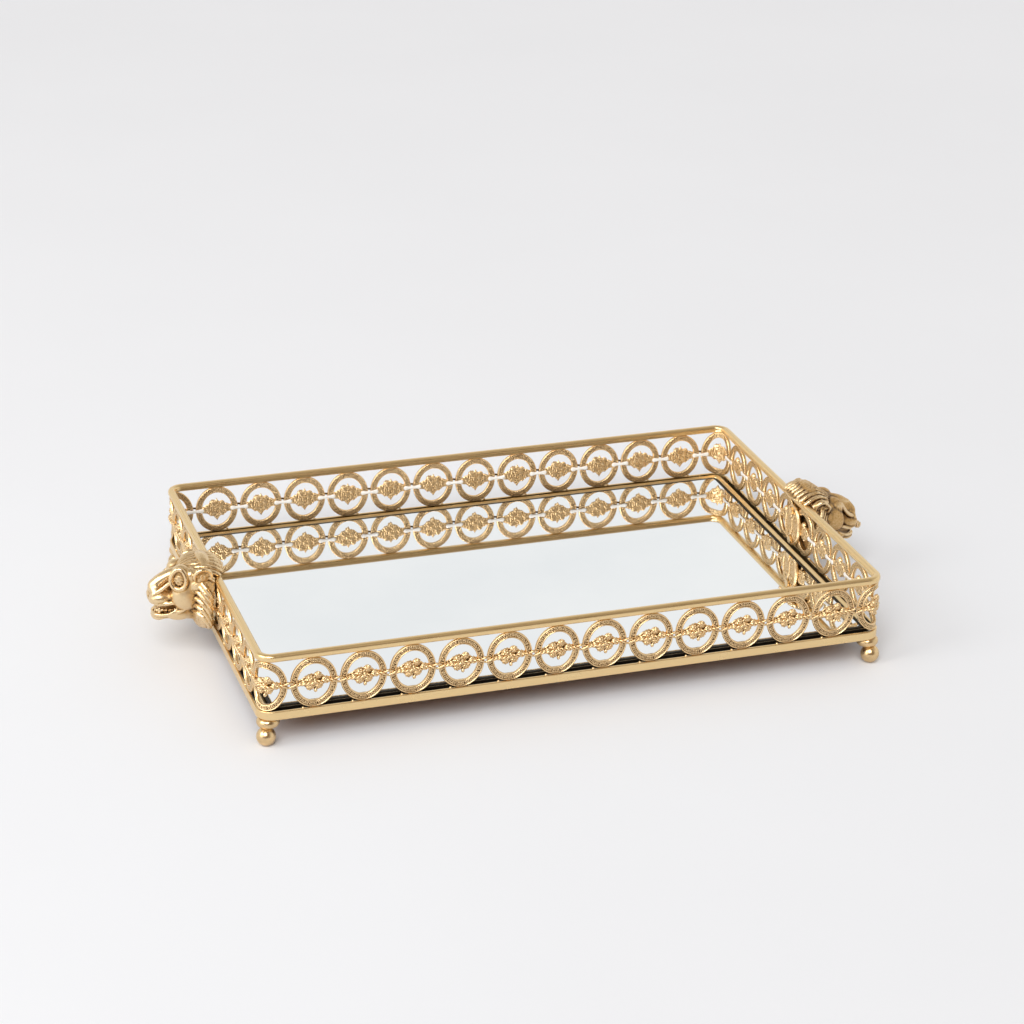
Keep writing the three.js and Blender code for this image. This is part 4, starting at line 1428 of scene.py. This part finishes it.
class TRAY_OT_handle_plates(bpy.types.Operator):
    """Casts the scrolled plates inside the gallery, and gives the screws their finishes: gilt on the ones
    that hold the heads, plated steel on the rest.
    """

    bl_idname = "tray.handle_plates"
    bl_label = "Handle plates and screws"

    def execute(self, context):
        for name, side in (("right", 1), ("left", -1)):
            low, high = node_box("handle_plate_" + name)
            middle, half = (low + high) / 2, (high - low) / 2
            turn = np.linspace(0, 2 * math.pi, 64, endpoint=False)
            rings = []
            for inset, depth in ((0.5, -half[0]), (0, -half[0] + 0.4), (0, half[0] - 0.4), (0.5, half[0])):
                oval_edge = [(half[1] - inset) * np.cos(turn), (half[2] - inset) * np.sin(turn)]
                rings.append(np.column_stack([*oval_edge, np.full(64, depth)]))
            solids = [swept(rings, False)]
            face = half[0] - 0.1
            oval_edge = [(half[1] - 1.4) * np.cos(turn), (half[2] - 1.4) * np.sin(turn)]
            edge = np.column_stack([*oval_edge, np.full(64, face)])
            solids.append(tube(edge, 0.9, sides=8, closed=True))
            for across in (1, -1):
                for height in (1, -1):
                    for size, start in ((4.4, 0.0), (2.9, 0.9)):
                        spiral = []
                        for t in np.linspace(0, 1, 14):
                            angle = start + 5.2 * t
                            reach = size * (1 - 0.75 * t)
                            aside = across * (5.6 - size * 0.3 + reach * math.cos(angle))
                            spiral.append((aside, height * (6.6 + reach * math.sin(angle)), face))
                        solids.append(bar(spiral, 0.85, step=0.8, taper=0.2))
            for k in range(7):
                solids.append(ellipsoid((0, (k - 3) * 1.7, face), (1.0, 1.0, 0.9), rings=8, sides=10))
            skin = fused(joined(solids), 0.38, soften=1)
            skin.points[:] += normals_of(skin) * (0.12 * noise(skin.points, 0.9, 9))[:, None]
            inward = straight_place(middle, np.array([0, side * 1.0, 0]) * -1, np.array([-side * 1.0, 0, 0]))
            shape = moved(skin, inward)
            make_piece(
                f"handle_plate_{name}_cast",
                shape,
                casting_material(context),
                [f"handle_plate_{name}"],
                cavity_of(skin, 6, 0.22),
            )
        steel = shared_material("steel", plated_steel)
        gilt = casting_material(context)
        for name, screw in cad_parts.items():
            if "screw" in name:
                for slot in screw.material_slots:
                    slot.material = gilt if "handle" in name else steel
        return {"FINISHED"}


class TRAY_OT_stage(bpy.types.Operator):
    """Lays a pale floor, lights it softly and sets up the camera."""

    bl_idname = "tray.stage"
    bl_label = "Stage"

    def execute(self, context):
        reach = 6.0
        corners = [(-reach, -reach, 0), (reach, -reach, 0), (reach, reach, 0), (-reach, reach, 0)]
        mesh = bpy.data.meshes.new("floor")
        mesh.from_pydata(corners, [], [(0, 1, 2, 3)])
        mesh.materials.append(painted_table(context.scene.tray_colours))
        floor = bpy.data.objects.new("floor", mesh)
        context.collection.objects.link(floor)
        context.scene.world = studio_world()
        add_lights(context)
        add_camera(context)
        context.scene.view_settings.view_transform = "Standard"
        return {"FINISHED"}


OPERATORS = (
    TRAY_OT_rails,
    TRAY_OT_base,
    TRAY_OT_gallery,
    TRAY_OT_studs,
    TRAY_OT_feet,
    TRAY_OT_lions,
    TRAY_OT_handle_plates,
    TRAY_OT_stage,
)


class TRAY_PT_panel(bpy.types.Panel):
    """Lists the tray's pieces and settings."""

    bl_idname = "TRAY_PT_panel"
    bl_label = "Vanity tray"
    bl_space_type = "VIEW_3D"
    bl_region_type = "UI"
    bl_category = "Tray"

    def draw(self, context):
        layout = self.layout
        for settings in (context.scene.tray_sizes, context.scene.tray_colours):
            for name in settings.__annotations__:
                layout.prop(settings, name)
        for operator in OPERATORS:
            layout.operator(operator.bl_idname)


CLASSES = (TraySizes, TrayColours, *OPERATORS, TRAY_PT_panel)


def register():
    for item in CLASSES:
        bpy.utils.register_class(item)
    bpy.types.Scene.tray_sizes = PointerProperty(type=TraySizes)
    bpy.types.Scene.tray_colours = PointerProperty(type=TrayColours)


def unregister():
    del bpy.types.Scene.tray_colours
    del bpy.types.Scene.tray_sizes
    for item in reversed(CLASSES):
        bpy.utils.unregister_class(item)


def main():
    register()
    for operator in OPERATORS:
        group, name = operator.bl_idname.split(".")
        getattr(getattr(bpy.ops, group), name)()


if __name__ == "__main__":
    main()
